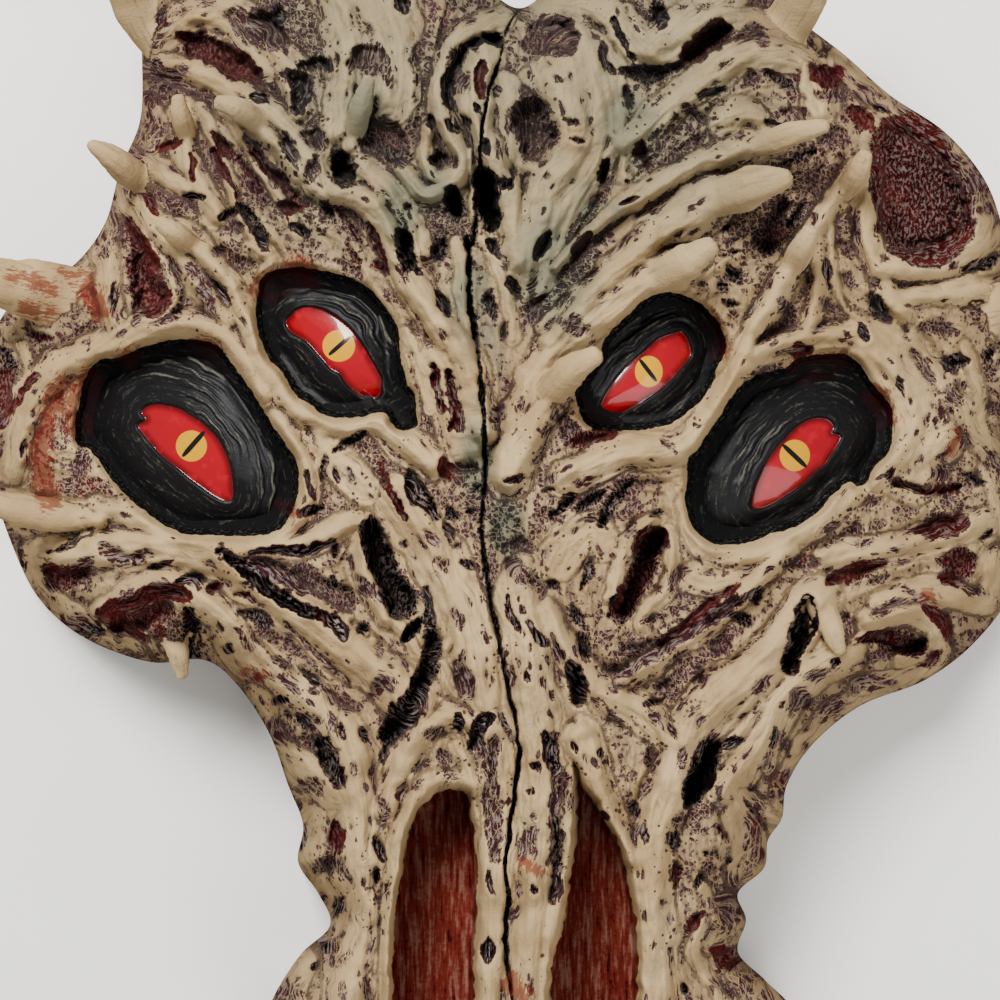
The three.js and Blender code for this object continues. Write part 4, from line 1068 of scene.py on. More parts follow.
def press_small_pits(sheet):
    """The small pits: more of them where the bone is porous, which it is in patches and less on
    the struts' backs, and none in the sockets and windows."""
    patches = smoothstep(-0.25, 0.55, noise(X, Y, 60, 81) + 0.5 * noise(X, Y, 21, 82))
    backs = smoothstep(0.45, 0.95, sheet["crest"])
    still = 1 - sheet["calm"]
    sheet["porous"] = patches * (1 - 0.7 * backs) * still
    amount = 0.1 + 0.6 * sheet["porous"]
    for sizes in SMALL_PITS:
        cell, small, large, stretch, depth, fade, scratched, seed = sizes.values()
        inside = scattered_pits(cell, small, large, stretch, seed, amount, sheet["turn"])
        inside = inside + 0.6 * RAGGED - 9 * (1 - still)
        press(sheet, EVERYWHERE, inside, large, depth, fade, speckled=scratched, pitch=0.2)


def grown_relief(sheet, edge, fine, coarse):
    """The carving in mm against the face's form: the struts, the pits' lips, lumps and strands,
    less the pits, then the sockets and the windows. It fades out at the rim."""
    crest, rim_fade = sheet["crest"], 6
    broad = strands(sheet["turn"], 16, 12, 66)
    lumps = 0.9 * noise(X, Y, 46, 63) + 0.45 * noise(X, Y, 17, 64) + 0.2 * noise(X, Y, 7, 65)
    grown = sheet["raised"] + 0.4 * sheet["lip"] * (1 - sheet["wash"]) + lumps * (1 - 0.5 * crest)
    grown += (0.18 * fine + 0.42 * coarse + 0.6 * broad) * (1.1 - 0.45 * crest) - sheet["cut"]
    still = 1 - sheet["calm"]
    return grown * still * np.minimum(edge / rim_fade, 1) + sheet["socket"] - sheet["opened"]


def wash_low_ground(sheet, relief, edge, fine, coarse):
    """Where the dark wash stays besides the pits: in creases, on the ground between the struts
    in patches, more in deep places and on the crown and less on the jaw and the right side, and
    round the rim; in the creases, the deep places and round the rim it is partly painted shade.
    It is scratched there, and in places of the outer face it is red. Then the bone's painted
    shade, and a painted highlight on raised crests."""
    still = 1 - sheet["calm"]
    near_rim = 1 - smoothstep(3, 16, edge)
    deep = smoothstep(0.3, 5, blurred(relief, 30) - relief)
    between = (1 - smoothstep(0.06, 0.36, sheet["crest"] + 0.04 * coarse)) * still
    crown = 1 - smoothstep(180, 280, Y)
    jaw, right_side = smoothstep(650, 800, Y), smoothstep(800, 900, X)
    share = 0.42 + 0.45 * noise(X, Y, 45, 83) + 0.3 * deep + 0.14 * crown
    share -= 0.18 * jaw + 0.14 * right_side
    # Round the rim the wash darkens the steep sides, partly as painted shade.
    rim_share = np.clip(0.36 + 0.6 * noise(X, Y, 26, 85), 0, 1) * (edge > 0)
    low = np.maximum(between * np.clip(share, 0, 1), near_rim * rim_share)
    # In the creases, where the relief lies under its own blur, the wash is partly painted shade.
    crease = blurred(relief, 5) - relief
    creased = (0.5 + (crease - 1.0 + 0.12 * fine) * 0.4) * still
    for scratched in (0.75 * smoothstep(0.15, 0.5, creased), between, 0.7 * near_rim):
        at_least(sheet, EVERYWHERE, speckled=scratched)
    sheet["speckled"] *= 1 - 0.75 * np.maximum(sheet["red"], sheet["pitch"])
    outer = smoothstep(130, 330, np.abs(X - NOSE_X)) * smoothstep(0.0, 0.5, noise(X, Y, 60, 84))
    at_least(sheet, EVERYWHERE, red=0.9 * low * outer)
    sheet["wash"] = np.clip(np.maximum.reduce([sheet["wash"], creased, low]), 0, 1)
    # Painted shade: the bone darkens in deep places, near the rim, between the struts and over the crown.
    upper = 1 - smoothstep(120, 300, Y)
    sheet["shade"] = np.clip(0.6 * deep + 0.4 * near_rim + 0.4 * between + 0.4 * upper, 0, 1)
    # Painted highlight: the bone is painted lighter on raised crests, where the relief stands above its own
    # blur.
    sheet["highlight_and_wear"] = smoothstep(0.2, 1.2, relief - blurred(relief, 9))


def carve_sheet():
    """The carved height of the face in mm and the places of its paint, on the raster. The face
    rises from the rim by a rounded shoulder, near a quarter circle."""
    sheet = empty_sheet()
    raise_struts(sheet)
    press_hollows(sheet)
    stain_and_smoke(sheet)
    sink_sockets(sheet)
    open_windows(sheet)
    press_small_pits(sheet)
    edge, bulge = rim_distance() * SHEET_MM, 2.4
    shoulder = (1 - (1 - np.minimum(edge / SHOULDER, 1)) ** bulge) ** (1 / bulge)
    fine, coarse = strands(sheet["turn"], 9, 2.4, 61), strands(sheet["turn"], 12, 5.5, 62)
    relief = grown_relief(sheet, edge, fine, coarse)
    wash_low_ground(sheet, relief, edge, fine, coarse)
    level = face_form(X, Y) * shoulder
    height = np.maximum(0, (level + relief) * np.minimum(1, edge))
    sheet.update(height=height, level=level, edge=edge)
    return sheet


SHEET = carve_sheet()


def unit_at(z):
    """The size in mm of a sheet unit at a height."""
    return SHEET_MM * (EYE_HEIGHT - z) / (EYE_HEIGHT - MID_HEIGHT)


def place(x, y, z):
    """Sheet units and a height in mm to points in metres in the part's frame."""
    unit = unit_at(z)
    east, north = (x - SHEET_MIDDLE) * unit - ORIGIN_X, (SHEET_MIDDLE - y) * unit - ORIGIN_Y
    return np.stack([east, north, z], axis=-1) * MILLIMETRE


def carved_place(x, y):
    """The points of the carved surface at places of the sheet."""
    return place(x, y, sample(SHEET["height"], x, y))


def sheet_place(points):
    """Where points in metres in the part's frame lie on the sheet, with their height in mm."""
    east, north, z = (points / MILLIMETRE).T
    unit = unit_at(z)
    return SHEET_MIDDLE + (east + ORIGIN_X) / unit, SHEET_MIDDLE - (north + ORIGIN_Y) / unit, z


def round_angles(count):
    """Even angles once round a circle."""
    return np.linspace(0, 2 * math.pi, count, endpoint=False)


def patch(left, right, bottom, top):
    """A plan grid filled in between four sides: each pair of opposite sides is blended straight
    across, and the blend of the four corners is taken off once."""
    u = np.linspace(0, 1, len(bottom))[None, :, None]
    v = np.linspace(0, 1, len(left))[:, None, None]
    sides = (1 - v) * bottom[None] + v * top[None] + (1 - u) * left[:, None] + u * right[:, None]
    corners = (1 - v) * ((1 - u) * bottom[0] + u * bottom[-1]) + v * ((1 - u) * top[0] + u * top[-1])
    return sides - corners


def grid_quads(rows, columns):
    """The four corners of each cell of a grid of points, row by row."""
    first = (np.arange(rows - 1)[:, None] * columns + np.arange(columns - 1)[None]).ravel()
    return np.stack([first, first + 1, first + columns + 1, first + columns], axis=1)


def grid_border(rows, columns):
    """The points round the edge of a grid, once round from its first."""
    index = np.arange(rows * columns).reshape(rows, columns)
    return np.concatenate([index[0], index[1:, -1], index[-1, :-1][::-1], index[1:-1, 0][::-1]])


def new_object(name, points, faces):
    """A mesh object in the scene from its points in metres and its faces."""
    mesh = bpy.data.meshes.new(name)
    mesh.from_pydata(points, [], faces)
    mesh.update()
    obj = bpy.data.objects.new(name, mesh)
    bpy.context.collection.objects.link(obj)
    return obj


def mesh_values(data, name, width=1):
    """One value or row of values for each element of a mesh's list."""
    values = np.empty(len(data) * width, np.int32 if name == "vertices" else np.float64)
    data.foreach_get(name, values)
    return values.reshape(-1, width) if width > 1 else values


def quarter_plan(upper, left):
    """The plan of a quarter of the face, between its side of the rim, the crack, the crown or
    the chin, and the seam across the face. Rows lie wider apart towards the chin."""
    across, along = UPPER_CELLS if upper else LOWER_CELLS
    u, v = np.linspace(0, 1, across + 1), np.linspace(0, 1, along + 1)
    side, seam = (LEFT_SIDE, LEFT_SEAM) if left else (RIGHT_SIDE, RIGHT_SEAM)
    if upper:
        outer, inner = even_path(side, v, SIDE_SEAM), even_path(CRACK, v, CRACK_SEAM)
        ends = (0, CROWN_SEAM) if left else (CROWN_SEAM, None)
        low, high = even_path(seam, u), even_path(CROWN, u, *ends)
    else:
        v = np.interp(v, [0, 0.14, 1], [0, 0.22, 1])
        outer = even_path(side, v, 0, SIDE_SEAM)
        inner = even_path(CRACK, np.interp(v, SIDE_SHARES, CRACK_SHARES), 0, CRACK_SEAM)
        ends = (0, CHIN_SEAM) if left else (CHIN_SEAM, None)
        low, high = even_path(CHIN, u, *ends), even_path(seam, u)
    return patch(outer, inner, low, high) if left else patch(inner, outer, low, high)


def quarter_solid(name, upper, left):
    """A quarter of the face as a closed solid: the carved surface, upright walls under the
    crack and the seam, and a flat underside at the rim."""
    plan = quarter_plan(upper, left)
    x, y = plan[..., 0], plan[..., 1]
    height = np.maximum(0.5, sample(SHEET["height"], x, y))
    height[-1 if upper else 0] = 0
    height[:, 0 if left else -1] = 0
    top = place(x, y, height).reshape(-1, 3)
    rows, columns = height.shape
    border = grid_border(rows, columns)
    hangs = height.ravel()[border] > 0
    foot = border.copy()
    foot[hangs] = len(top) + np.arange(hangs.sum())
    points = np.concatenate([top, top[border[hangs]] * (1, 1, 0)])
    a, b, foot_a, foot_b = border, np.roll(border, -1), foot, np.roll(foot, -1)
    both = hangs & np.roll(hangs, -1)
    starts, ends = np.roll(hangs, -1) & ~hangs, hangs & ~np.roll(hangs, -1)
    walls = np.stack([b, a, foot_a, foot_b], axis=1)[both].tolist()
    walls += np.stack([b, a, foot_b], axis=1)[starts].tolist()
    walls += np.stack([b, a, foot_a], axis=1)[ends].tolist()
    faces = grid_quads(rows, columns).tolist() + walls + [foot[::-1].tolist()]
    return new_object(name, points, faces)


def inset_side(points, shares):
    """A side of the rim moved in by the rim's width: each point goes where the rim is farthest."""
    side = even_path(points, np.linspace(0, 1, 25))
    angles = round_angles(24)
    x = side[:, 0, None] + RIM / SHEET_MM * np.cos(angles)
    y = side[:, 1, None] + RIM / SHEET_MM * np.sin(angles)
    best = sample(SHEET["edge"], x, y).argmax(axis=1)[:, None]
    moved = np.concatenate([np.take_along_axis(x, best, 1), np.take_along_axis(y, best, 1)], axis=1)
    return even_path(moved, shares)


def inside_solid():
    """The hollow behind the face: under each point lies a rounded pad, a wall thick in the
    middle, and the lowest spot of the outside that it may touch sets the height."""
    across, along = INSIDE_CELLS
    u, v = np.linspace(0, 1, across + 1), np.linspace(0, 1, along + 1)
    plan = patch(
        inset_side(LEFT_SIDE, v), inset_side(RIGHT_SIDE, v), inset_side(CHIN, u), inset_side(CROWN, u)
    )
    x, y = plan[..., 0], plan[..., 1]
    lowest = sample(SHEET["height"], x, y) - WALL
    for share in (0.35, 0.7, 1):
        drop = WALL * math.sqrt(1 - share**2)
        for angle in round_angles(12):
            dx = share * PAD_REACH * math.cos(angle) / SHEET_MM
            dy = share * PAD_REACH * math.sin(angle) / SHEET_MM
            lowest = np.minimum(lowest, sample(SHEET["height"], x + dx, y + dy) - drop)
    floor = -3
    least_depth = 0.5
    height = np.maximum(floor + least_depth, lowest)
    height[0], height[-1], height[:, 0], height[:, -1] = floor, floor, floor, floor
    border = grid_border(*height.shape)
    faces = grid_quads(*height.shape).tolist() + [border[::-1].tolist()]
    return new_object("inside", place(x, y, height).reshape(-1, 3), faces)


def ring_walls(rings, sides):
    """The four corners of each cell between rings of points, row by row."""
    start, around = np.arange(rings)[:, None] * sides, np.arange(sides)
    first, second = (start + around).ravel(), (start + (around + 1) % sides).ravel()
    return np.stack([first, second, second + sides, first + sides], axis=1).tolist()


def cap(point, first, second):
    """A fan of triangles from one point to the sides of a ring."""
    return np.stack([np.full(len(first), point), first, second], axis=1).tolist()


def horn(name, radii, path):
    """A horn: rings of points round a smooth path. The radius is blended along it, grows from
    almost nothing at the buried root, ends in a round tip, and is worn into uneven grooves. Its
    first part dips into the face, so that its back rises out of it gradually. The name's length
    seeds the grooves."""
    sides, rings = HORN_CELLS
    x, y, lift = np.array(path, float).T
    root = sample(SHEET["height"], x[:1], y[:1])
    middle = smooth_path(place(x, y, root + lift), rings)
    ahead = np.gradient(middle, axis=0)
    ahead /= np.linalg.norm(ahead, axis=1)[:, None]
    across = np.cross([0.0, 0.0, 1.0], ahead)
    across /= np.linalg.norm(across, axis=1)[:, None]
    up = np.cross(ahead, across)
    share = np.linspace(0, 1, rings + 1)
    radius = np.interp(share * (len(radii) - 1), np.arange(len(radii)), radii) * SHEET_MM * MILLIMETRE
    middle[:, 2] -= 0.9 * radius * (1 - smoothstep(0.05, 0.7, share))
    radius *= np.sqrt(smoothstep(-0.03, 0.3, share))
    radius *= np.sqrt(np.maximum(0.02, 1 - (np.maximum(0, share - 0.93) / 0.075) ** 2))
    angle = round_angles(sides)
    u, v = share[:, None] * rings, sides * (1 + np.cos(angle)[None] / 2)
    grooves = 1 + 0.09 * noise(u * 0.25, v, 2.3, len(name)) + 0.05 * noise(u, v, 1.7, len(name) + 50)
    ring = radius[:, None] * grooves
    points = middle[:, None] + ring[..., None] * (
        np.cos(angle)[None, :, None] * across[:, None] + np.sin(angle)[None, :, None] * up[:, None]
    )
    tip = middle[-1] + ahead[-1] * radius[-1] * 0.5
    points = np.concatenate([points.reshape(-1, 3), [middle[0]], [tip]])
    last, root_point, tip_point = rings * sides, sides * (rings + 1), sides * (rings + 1) + 1
    around = np.arange(sides)
    faces = ring_walls(rings, sides) + cap(root_point, (around + 1) % sides, around)
    return new_object(name, points, faces + cap(tip_point, last + around, last + (around + 1) % sides))


def join_and_cut(base, joined, cut):
    """Joins solids to the base, cuts others away, and gives it the result as its mesh."""
    for operation, others in (("UNION", joined), ("DIFFERENCE", cut)):
        for other in others:
            step = base.modifiers.new(operation.lower(), "BOOLEAN")
            step.operation, step.object, step.solver = operation, other, "MANIFOLD"
    evaluated = base.evaluated_get(bpy.context.evaluated_depsgraph_get())
    mesh = bpy.data.meshes.new_from_object(evaluated)
    base.modifiers.clear()
    old = base.data
    base.data = mesh
    bpy.data.meshes.remove(old)


def soften_joins(obj):
    """Blends each horn into the face: points within a few edges of where they meet move towards
    the mean of their neighbours, less the farther they are from the meeting line."""
    mesh = obj.data
    points = mesh_values(mesh.vertices, "co", 3)
    ends = mesh_values(mesh.edges, "vertices", 2)
    a, b = ends[:, 0], ends[:, 1]
    x, y, z = sheet_place(points)
    least_lift = 0.06
    proud = z - sample(SHEET["height"], x, y) > least_lift
    meeting = proud[a] != proud[b]
    weight = np.zeros(len(points))
    weight[ends[meeting].ravel()] = 1
    for _ in range(6):
        spread = weight.copy()
        np.maximum.at(spread, a, 0.82 * weight[b])
        np.maximum.at(spread, b, 0.82 * weight[a])
        weight = spread
    weight *= 0.6 * (z > 2)
    size = len(points)
    count = np.bincount(a, minlength=size) + np.bincount(b, minlength=size)
    for _ in range(14):
        for k in range(3):
            total = np.bincount(a, points[b, k], size) + np.bincount(b, points[a, k], size)
            points[:, k] += weight * (total / count - points[:, k])
    mesh.vertices.foreach_set("co", points.ravel())
    mesh.update()


def smooth_but_for_rim(obj, seams):
    """Smooth shading, with a sharp edge along the rim's underside. Along the seams both
    neighbours take the normal that the raster's slope gives, so that the seams don't show."""
    mesh = obj.data
    mesh.shade_smooth()
    points = mesh_values(mesh.vertices, "co", 3)
    ends = mesh_values(mesh.edges, "vertices", 2)
    x, y, z = sheet_place(points)
    grounded = z < 0.05
    sharp = mesh.attributes.new("sharp_edge", "BOOLEAN", "EDGE")
    sharp.data.foreach_set("value", grounded[ends].all(axis=1))
    height = sample(SHEET["height"], x, y)
    reach = np.minimum.reduce([nearest(seam, x, y)[0] for seam in seams])
    on_seam = (reach < 0.4) & (np.abs(z - height) < 0.08) & (z > 1)
    x, y = x[on_seam], y[on_seam]
    east = carved_place(x + 1, y) - carved_place(x - 1, y)
    north = carved_place(x, y - 1) - carved_place(x, y + 1)
    facing = np.cross(east, north)
    normals = np.zeros((len(points), 3))
    normals[on_seam] = facing / np.linalg.norm(facing, axis=1)[:, None]
    mesh.normals_split_custom_set_from_vertices(normals.tolist())


def eye_solid(name, eye):
    """The lids and eyeball as a closed dish: rings from the middle of the opening out to the
    socket's edge, whose last ones dip under the face, over a hidden underside that is closed in
    its middle."""
    rings, sides = EYE_CELLS
    middle = np.mean(eye["opening"], axis=0)
    loop = smooth_loop(eye["socket"], 8)[:-1] - middle
    turn = np.arctan2(loop[:, 1], loop[:, 0])
    angle = round_angles(sides)
    order = np.argsort(turn)
    outer = np.interp(angle, turn[order], np.hypot(*loop[order].T), period=2 * math.pi)
    share = np.linspace(0, 1, rings + 1)[1:, None]
    x = middle[0] + share * outer * np.cos(angle)
    y = middle[1] + share * outer * np.sin(angle)
    relief, into = eye_shape(eye, x, y)[:2]
    height = sample(SHEET["level"], x, y) + relief - 3 * (1 - smoothstep(0.5, 1.7, into))
    top = place(x, y, height).reshape(-1, 3)
    floor = place(x[-1], y[-1], height[-1] - 1)
    heart = np.array([middle])
    centre = place(heart[:, 0], heart[:, 1], height[0].mean(keepdims=True))
    low = place(heart[:, 0], heart[:, 1], height[-1].min(keepdims=True) - 2)
    points = np.concatenate([top, floor, centre, low])
    last, centre_point, low_point = rings * sides, (rings + 1) * sides, (rings + 1) * sides + 1
    around = np.arange(sides)
    after = (around + 1) % sides
    faces = ring_walls(rings, sides) + cap(centre_point, after, around)
    return new_object(name, points, faces + cap(low_point, last + around, last + after))


def recess_under_eyes(height):
    """The face's own surface lies a little lower under the lids and eyeballs that cover it."""
    lowered = height.copy()
    for eye in EYES.values():
        spot = window(np.array(eye["socket"], float), 4)
        into = reach_inside(smooth_loop(eye["socket"], 3), X[spot], Y[spot]) * SHEET_MM
        lowered[spot] -= EYEBALL_COVER * smoothstep(1.7, 2.6, into)
    return lowered


def write_attribute(mesh, name, *values):
    """Puts three values as a vector on each of the mesh's points."""
    layer = mesh.attributes.new(name, "FLOAT_VECTOR", "POINT")
    layer.data.foreach_set("vector", np.stack(values, axis=1).astype(np.float32).ravel())


def paint_face(obj):
    """Writes the paint's places to the mesh's points, read from the raster under them. Horns lie
    above the raster's surface, so they count as bone, painted darker near the face as painted
    shade, and have a flow of their own that runs along them. What lies well under that surface
    and faces down is the inside."""
    mesh = obj.data
    x, y, z = sheet_place(mesh_values(mesh.vertices, "co", 3))
    lift = z - sample(SHEET["height"], x, y)
    free = np.zeros(len(x))
    read = {name: sample(SHEET[name], x, y) for name in PAINTED}
    for number, (radii, path) in enumerate(SPINES.values()):
        line = smooth_path([spot[:2] for spot in path], 8)
        close = np.flatnonzero((lift > 0.4) & (nearest(line[::4], x, y)[0] < 1.3 * max(radii)))
        way, side = nearest(line, x[close], y[close])[1:3]
        read["flow_along"][close] = way * path_length(line) * SHEET_MM
        read["flow_across"][close] = side * SHEET_MM + 20 * number
        free[close] = smoothstep(0.4, 1.8, lift[close])
    downward = smoothstep(0.15, -0.05, mesh_values(mesh.vertices, "normal", 3)[:, 2])
    # Painted shade: a horn's wash grows towards where it meets the face.
    root = 0.4 * np.exp(-np.maximum(0, lift) / 2.5)
    bare = 1 - free
    write_attribute(
        mesh, "hollows", read["wash"] * bare + root * free, read["pitch"] * bare,
        read["speckled"] * bare + 0.5 * root * free
    )
    write_attribute(mesh, "tints", read["red"] * bare, read["stain"], read["smoke"])
    write_attribute(mesh, "forms", read["shade"] * bare, read["porous"] * bare, read["floor"] * bare)
    inner = smoothstep(-1.8, -3.2, lift) * downward
    # The masks: the sockets' black, the inside, and the painted highlight on raised crests.
    write_attribute(mesh, "masks", read["black"] * bare, inner, read["highlight_and_wear"])
    write_attribute(mesh, "flow", read["flow_along"], read["flow_across"], free)


def paint_eye(obj, eye):
    """Writes the eye's places: those along and across the slit, as shares of half its length, and
    the distance out of the opening in mm; then the distance from the iris's middle as a share of
    its radius, the lids' folds and the red stain."""
    mesh = obj.data
    x, y = sheet_place(mesh_values(mesh.vertices, "co", 3))[:2]
    past, folds = eye_shape(eye, x, y)[2:]
    cx, cy, wide, high = eye["iris"]
    top, foot = np.array(eye["slit"])
    length = np.linalg.norm(top - foot) / 2
    ahead = (top - foot) / (2 * length)
    heart = (top + foot) / 2
    along = ((x - heart[0]) * ahead[0] + (y - heart[1]) * ahead[1]) / length
    across = ((y - heart[1]) * ahead[0] - (x - heart[0]) * ahead[1]) / length
    disc = np.hypot((x - cx) / wide, (y - cy) / high)
    write_attribute(mesh, "eye", along, across, past)
    write_attribute(mesh, "lids", disc, folds, sample(SHEET["stain"], x, y))
    mesh.shade_smooth()


class Wiring:
    """Adds nodes to a node tree and links them."""

    def __init__(self, tree):
        self.tree = tree

    def node(self, kind, sockets=(), **settings):
        made = self.tree.nodes.new(kind)
        for name, value in settings.items():
            setattr(made, name, value)
        for name, value in dict(sockets).items():
            self.feed(made.inputs[name], value)
        return made

    def feed(self, socket, value):
        if isinstance(value, bpy.types.NodeSocket):
            self.tree.links.new(value, socket)
        else:
            socket.default_value = value

    def math(self, operation, a, b=0.0, c=0.0):
        return self.node("ShaderNodeMath", {0: a, 1: b, 2: c}, operation=operation).outputs[0]

    def chain(self, operation, first, *others):
        for value in others:
            first = self.math(operation, first, value)
        return first

    def times(self, *values):
        return self.chain("MULTIPLY", *values)

    def plus(self, *values):
        return self.chain("ADD", *values)

    def less(self, value, amount):
        return self.math("SUBTRACT", value, amount)

    def most(self, a, b):
        return self.math("MAXIMUM", a, b)

    def centred(self, value, amount):
        """A value from 0 to 1 as one from minus half the amount to half the amount."""
        return self.math("MULTIPLY_ADD", value, amount, -0.5 * amount)

    def ramp(self, value, low, high):
        """0 at low and 1 at high, smooth between."""
        sockets = {"Value": value, "From Min": low, "From Max": high}
        made = self.node("ShaderNodeMapRange", sockets, interpolation_type="SMOOTHSTEP")
        return made.outputs["Result"]

    def mix(self, share, a, b):
        """Colour a, and colour b where share is 1."""
        return self.node("ShaderNodeMix", {0: share, 6: a, 7: b}, data_type="RGBA").outputs[2]

    def noise(self, vector, scale, detail=2.0, roughness=0.5, kind="3D"):
        sockets = {"Vector": vector, "Scale": scale, "Detail": detail, "Roughness": roughness}
        return self.node("ShaderNodeTexNoise", sockets, noise_dimensions=kind).outputs["Fac"]

    def cells(self, vector, scale, feature="F1"):
        sockets = {"Vector": vector, "Scale": scale}
        return self.node("ShaderNodeTexVoronoi", sockets, feature=feature, voronoi_dimensions="2D").outputs

    def attribute(self, name):
        return self.node("ShaderNodeAttribute", attribute_name=name).outputs["Vector"]

    def split(self, vector):
        parts = self.node("ShaderNodeSeparateXYZ", {0: vector}).outputs
        return parts["X"], parts["Y"], parts["Z"]

    def vector(self, operation, a, b):
        return self.node("ShaderNodeVectorMath", {0: a, 1: b}, operation=operation).outputs[0]

    def scaled(self, vector, scale):
        return self.vector("MULTIPLY", vector, scale)


def rgb(red, green, blue):
    """A colour from display values of 0 to 255."""
    return tuple(((v / 255 + 0.055) / 1.055) ** 2.4 for v in (red, green, blue)) + (1.0,)


BONE_PALE = rgb(172, 147, 108)
BONE_TAN = rgb(149, 124, 88)
# The bone's colour in painted shade.
BONE_SHADED = rgb(92, 74, 62)
PIT_PURPLE = rgb(58, 33, 35)
PIT_BLACK = rgb(16, 10, 12)
BRUSHED = rgb(136, 120, 112)
WINE = rgb(72, 25, 22)
WINE_DARK = rgb(42, 11, 13)
STAIN_RED = rgb(102, 34, 26)
SMOKE = rgb(96, 97, 80)
SMOKE_DARK = rgb(34, 36, 33)
FLOOR_RED = rgb(94, 32, 24)
FLOOR_WORN = rgb(124, 84, 70)
INSIDE_BROWN = rgb(92, 70, 62)
INSIDE_DARK = rgb(58, 42, 40)
LID_BLACK = rgb(14, 13, 14)
LID_OLIVE = rgb(86, 84, 72)
EYE_RED = rgb(142, 0, 20)
EYE_DEEP = rgb(84, 0, 6)
EYE_RIM = rgb(178, 14, 34)
IRIS_YELLOW = rgb(186, 134, 0)
TABLE_DULL = rgb(240, 238, 230)
TABLE_PALE = rgb(246, 244, 238)


def grain_group():
    """The cast's fine grain, which goes a little over and under 0, and its specks: the smallest
    pores, where the spots of a fine cell pattern lie, in some places more than in others."""
    tree = bpy.data.node_groups.new("fine grain", "ShaderNodeTree")
    for name, side, kind in (
        ("Place", "INPUT", "NodeSocketVector"), ("Pores", "INPUT", "NodeSocketFloat"),
        ("Grain", "OUTPUT", "NodeSocketFloat"), ("Specks", "OUTPUT", "NodeSocketFloat"),
    ):
        tree.interface.new_socket(name, in_out=side, socket_type=kind)
    w = Wiring(tree)
    given, result = w.node("NodeGroupInput").outputs, w.node("NodeGroupOutput").inputs
    fine = w.noise(given["Place"], 2300, 1, 0.6)
    grain = w.plus(w.centred(w.noise(given["Place"], 850, 2, 0.65), 1.1), w.centred(fine, 0.5))
    cells = w.cells(given["Place"], 900)
    chance = w.split(cells["Color"])[0]
    size = w.times(w.ramp(chance, w.less(1.02, w.times(given["Pores"], 0.5)), 1.15), 0.75)
    reach = w.plus(cells["Distance"], w.times(grain, 0.16))
    w.feed(result["Grain"], grain)
    w.feed(result["Specks"], w.ramp(reach, w.plus(size, 0.02), w.less(size, 0.05)))
    return tree


def new_paint(name, grain, pores=0.0):
    """A material with nothing in it yet but the object's coordinates and the fine grain."""
    material = bpy.data.materials.new(name)
    material.use_nodes = True
    material.node_tree.nodes.clear()
    w = Wiring(material.node_tree)
    spot = w.node("ShaderNodeTexCoord").outputs["Object"]
    made = w.node("ShaderNodeGroup", {"Place": spot, "Pores": pores}, node_tree=grain)
    return material, w, spot, made


def finish_paint(w, colour, roughness, raised, strength, distance, gloss):
    """The paint's shader, with its relief as a bump of the given distance in metres."""
    bump = w.node("ShaderNodeBump", {"Strength": strength, "Distance": distance, "Height": raised})
    sockets = {"Base Color": colour, "Roughness": roughness, "Normal": bump.outputs[0]}
    surface = w.node("ShaderNodeBsdfPrincipled", sockets)
    surface.inputs["Specular IOR Level"].default_value = gloss
    w.node("ShaderNodeOutputMaterial", {"Surface": surface.outputs[0]})
    return surface


def pit_paint(w, pitch, wash, red, broad, texture, scratches):
    """The dark wash: purple-brown, black where it is deep, which is partly painted shade, and wine
    red in places, under the pale scratches of a dry brush."""
    # Black where the pits are deep and the wash is strong: partly painted shade.
    black = w.ramp(w.plus(pitch, w.times(texture, 0.4), w.times(wash, 0.4)), 0.25, 0.8)
    wine = w.mix(w.ramp(w.plus(broad, w.times(texture, 0.6)), 0.35, 0.65), WINE_DARK, WINE)
    dark = w.mix(black, PIT_PURPLE, PIT_BLACK)
    dark = w.mix(w.ramp(w.plus(red, w.times(texture, 0.5)), 0.35, 0.6), dark, wine)
    return w.mix(w.times(scratches, 0.75), dark, BRUSHED)


def floor_paint(w, spot, texture):
    """The windows' floors: red, worn pale and left dark in streaks that run down them."""
    streaks = w.noise(w.scaled(spot, (620, 70, 0)), 1.0, 2, 0.7, "2D")
    rubbed = w.plus(streaks, w.times(texture, 0.3))
    highlight_and_wear = w.mix(w.ramp(rubbed, 0.45, 0.75), FLOOR_RED, FLOOR_WORN)
    return w.mix(w.ramp(rubbed, 0.42, 0.25), highlight_and_wear, WINE_DARK)


def lid_paint(w, pale, stain, texture):
    """The black of the lids, olive by the share pale, and dark red where it is stained."""
    lids = w.mix(pale, LID_BLACK, LID_OLIVE)
    return w.mix(w.ramp(w.plus(stain, w.times(texture, 0.5)), 0.3, 1.1), lids, WINE_DARK)


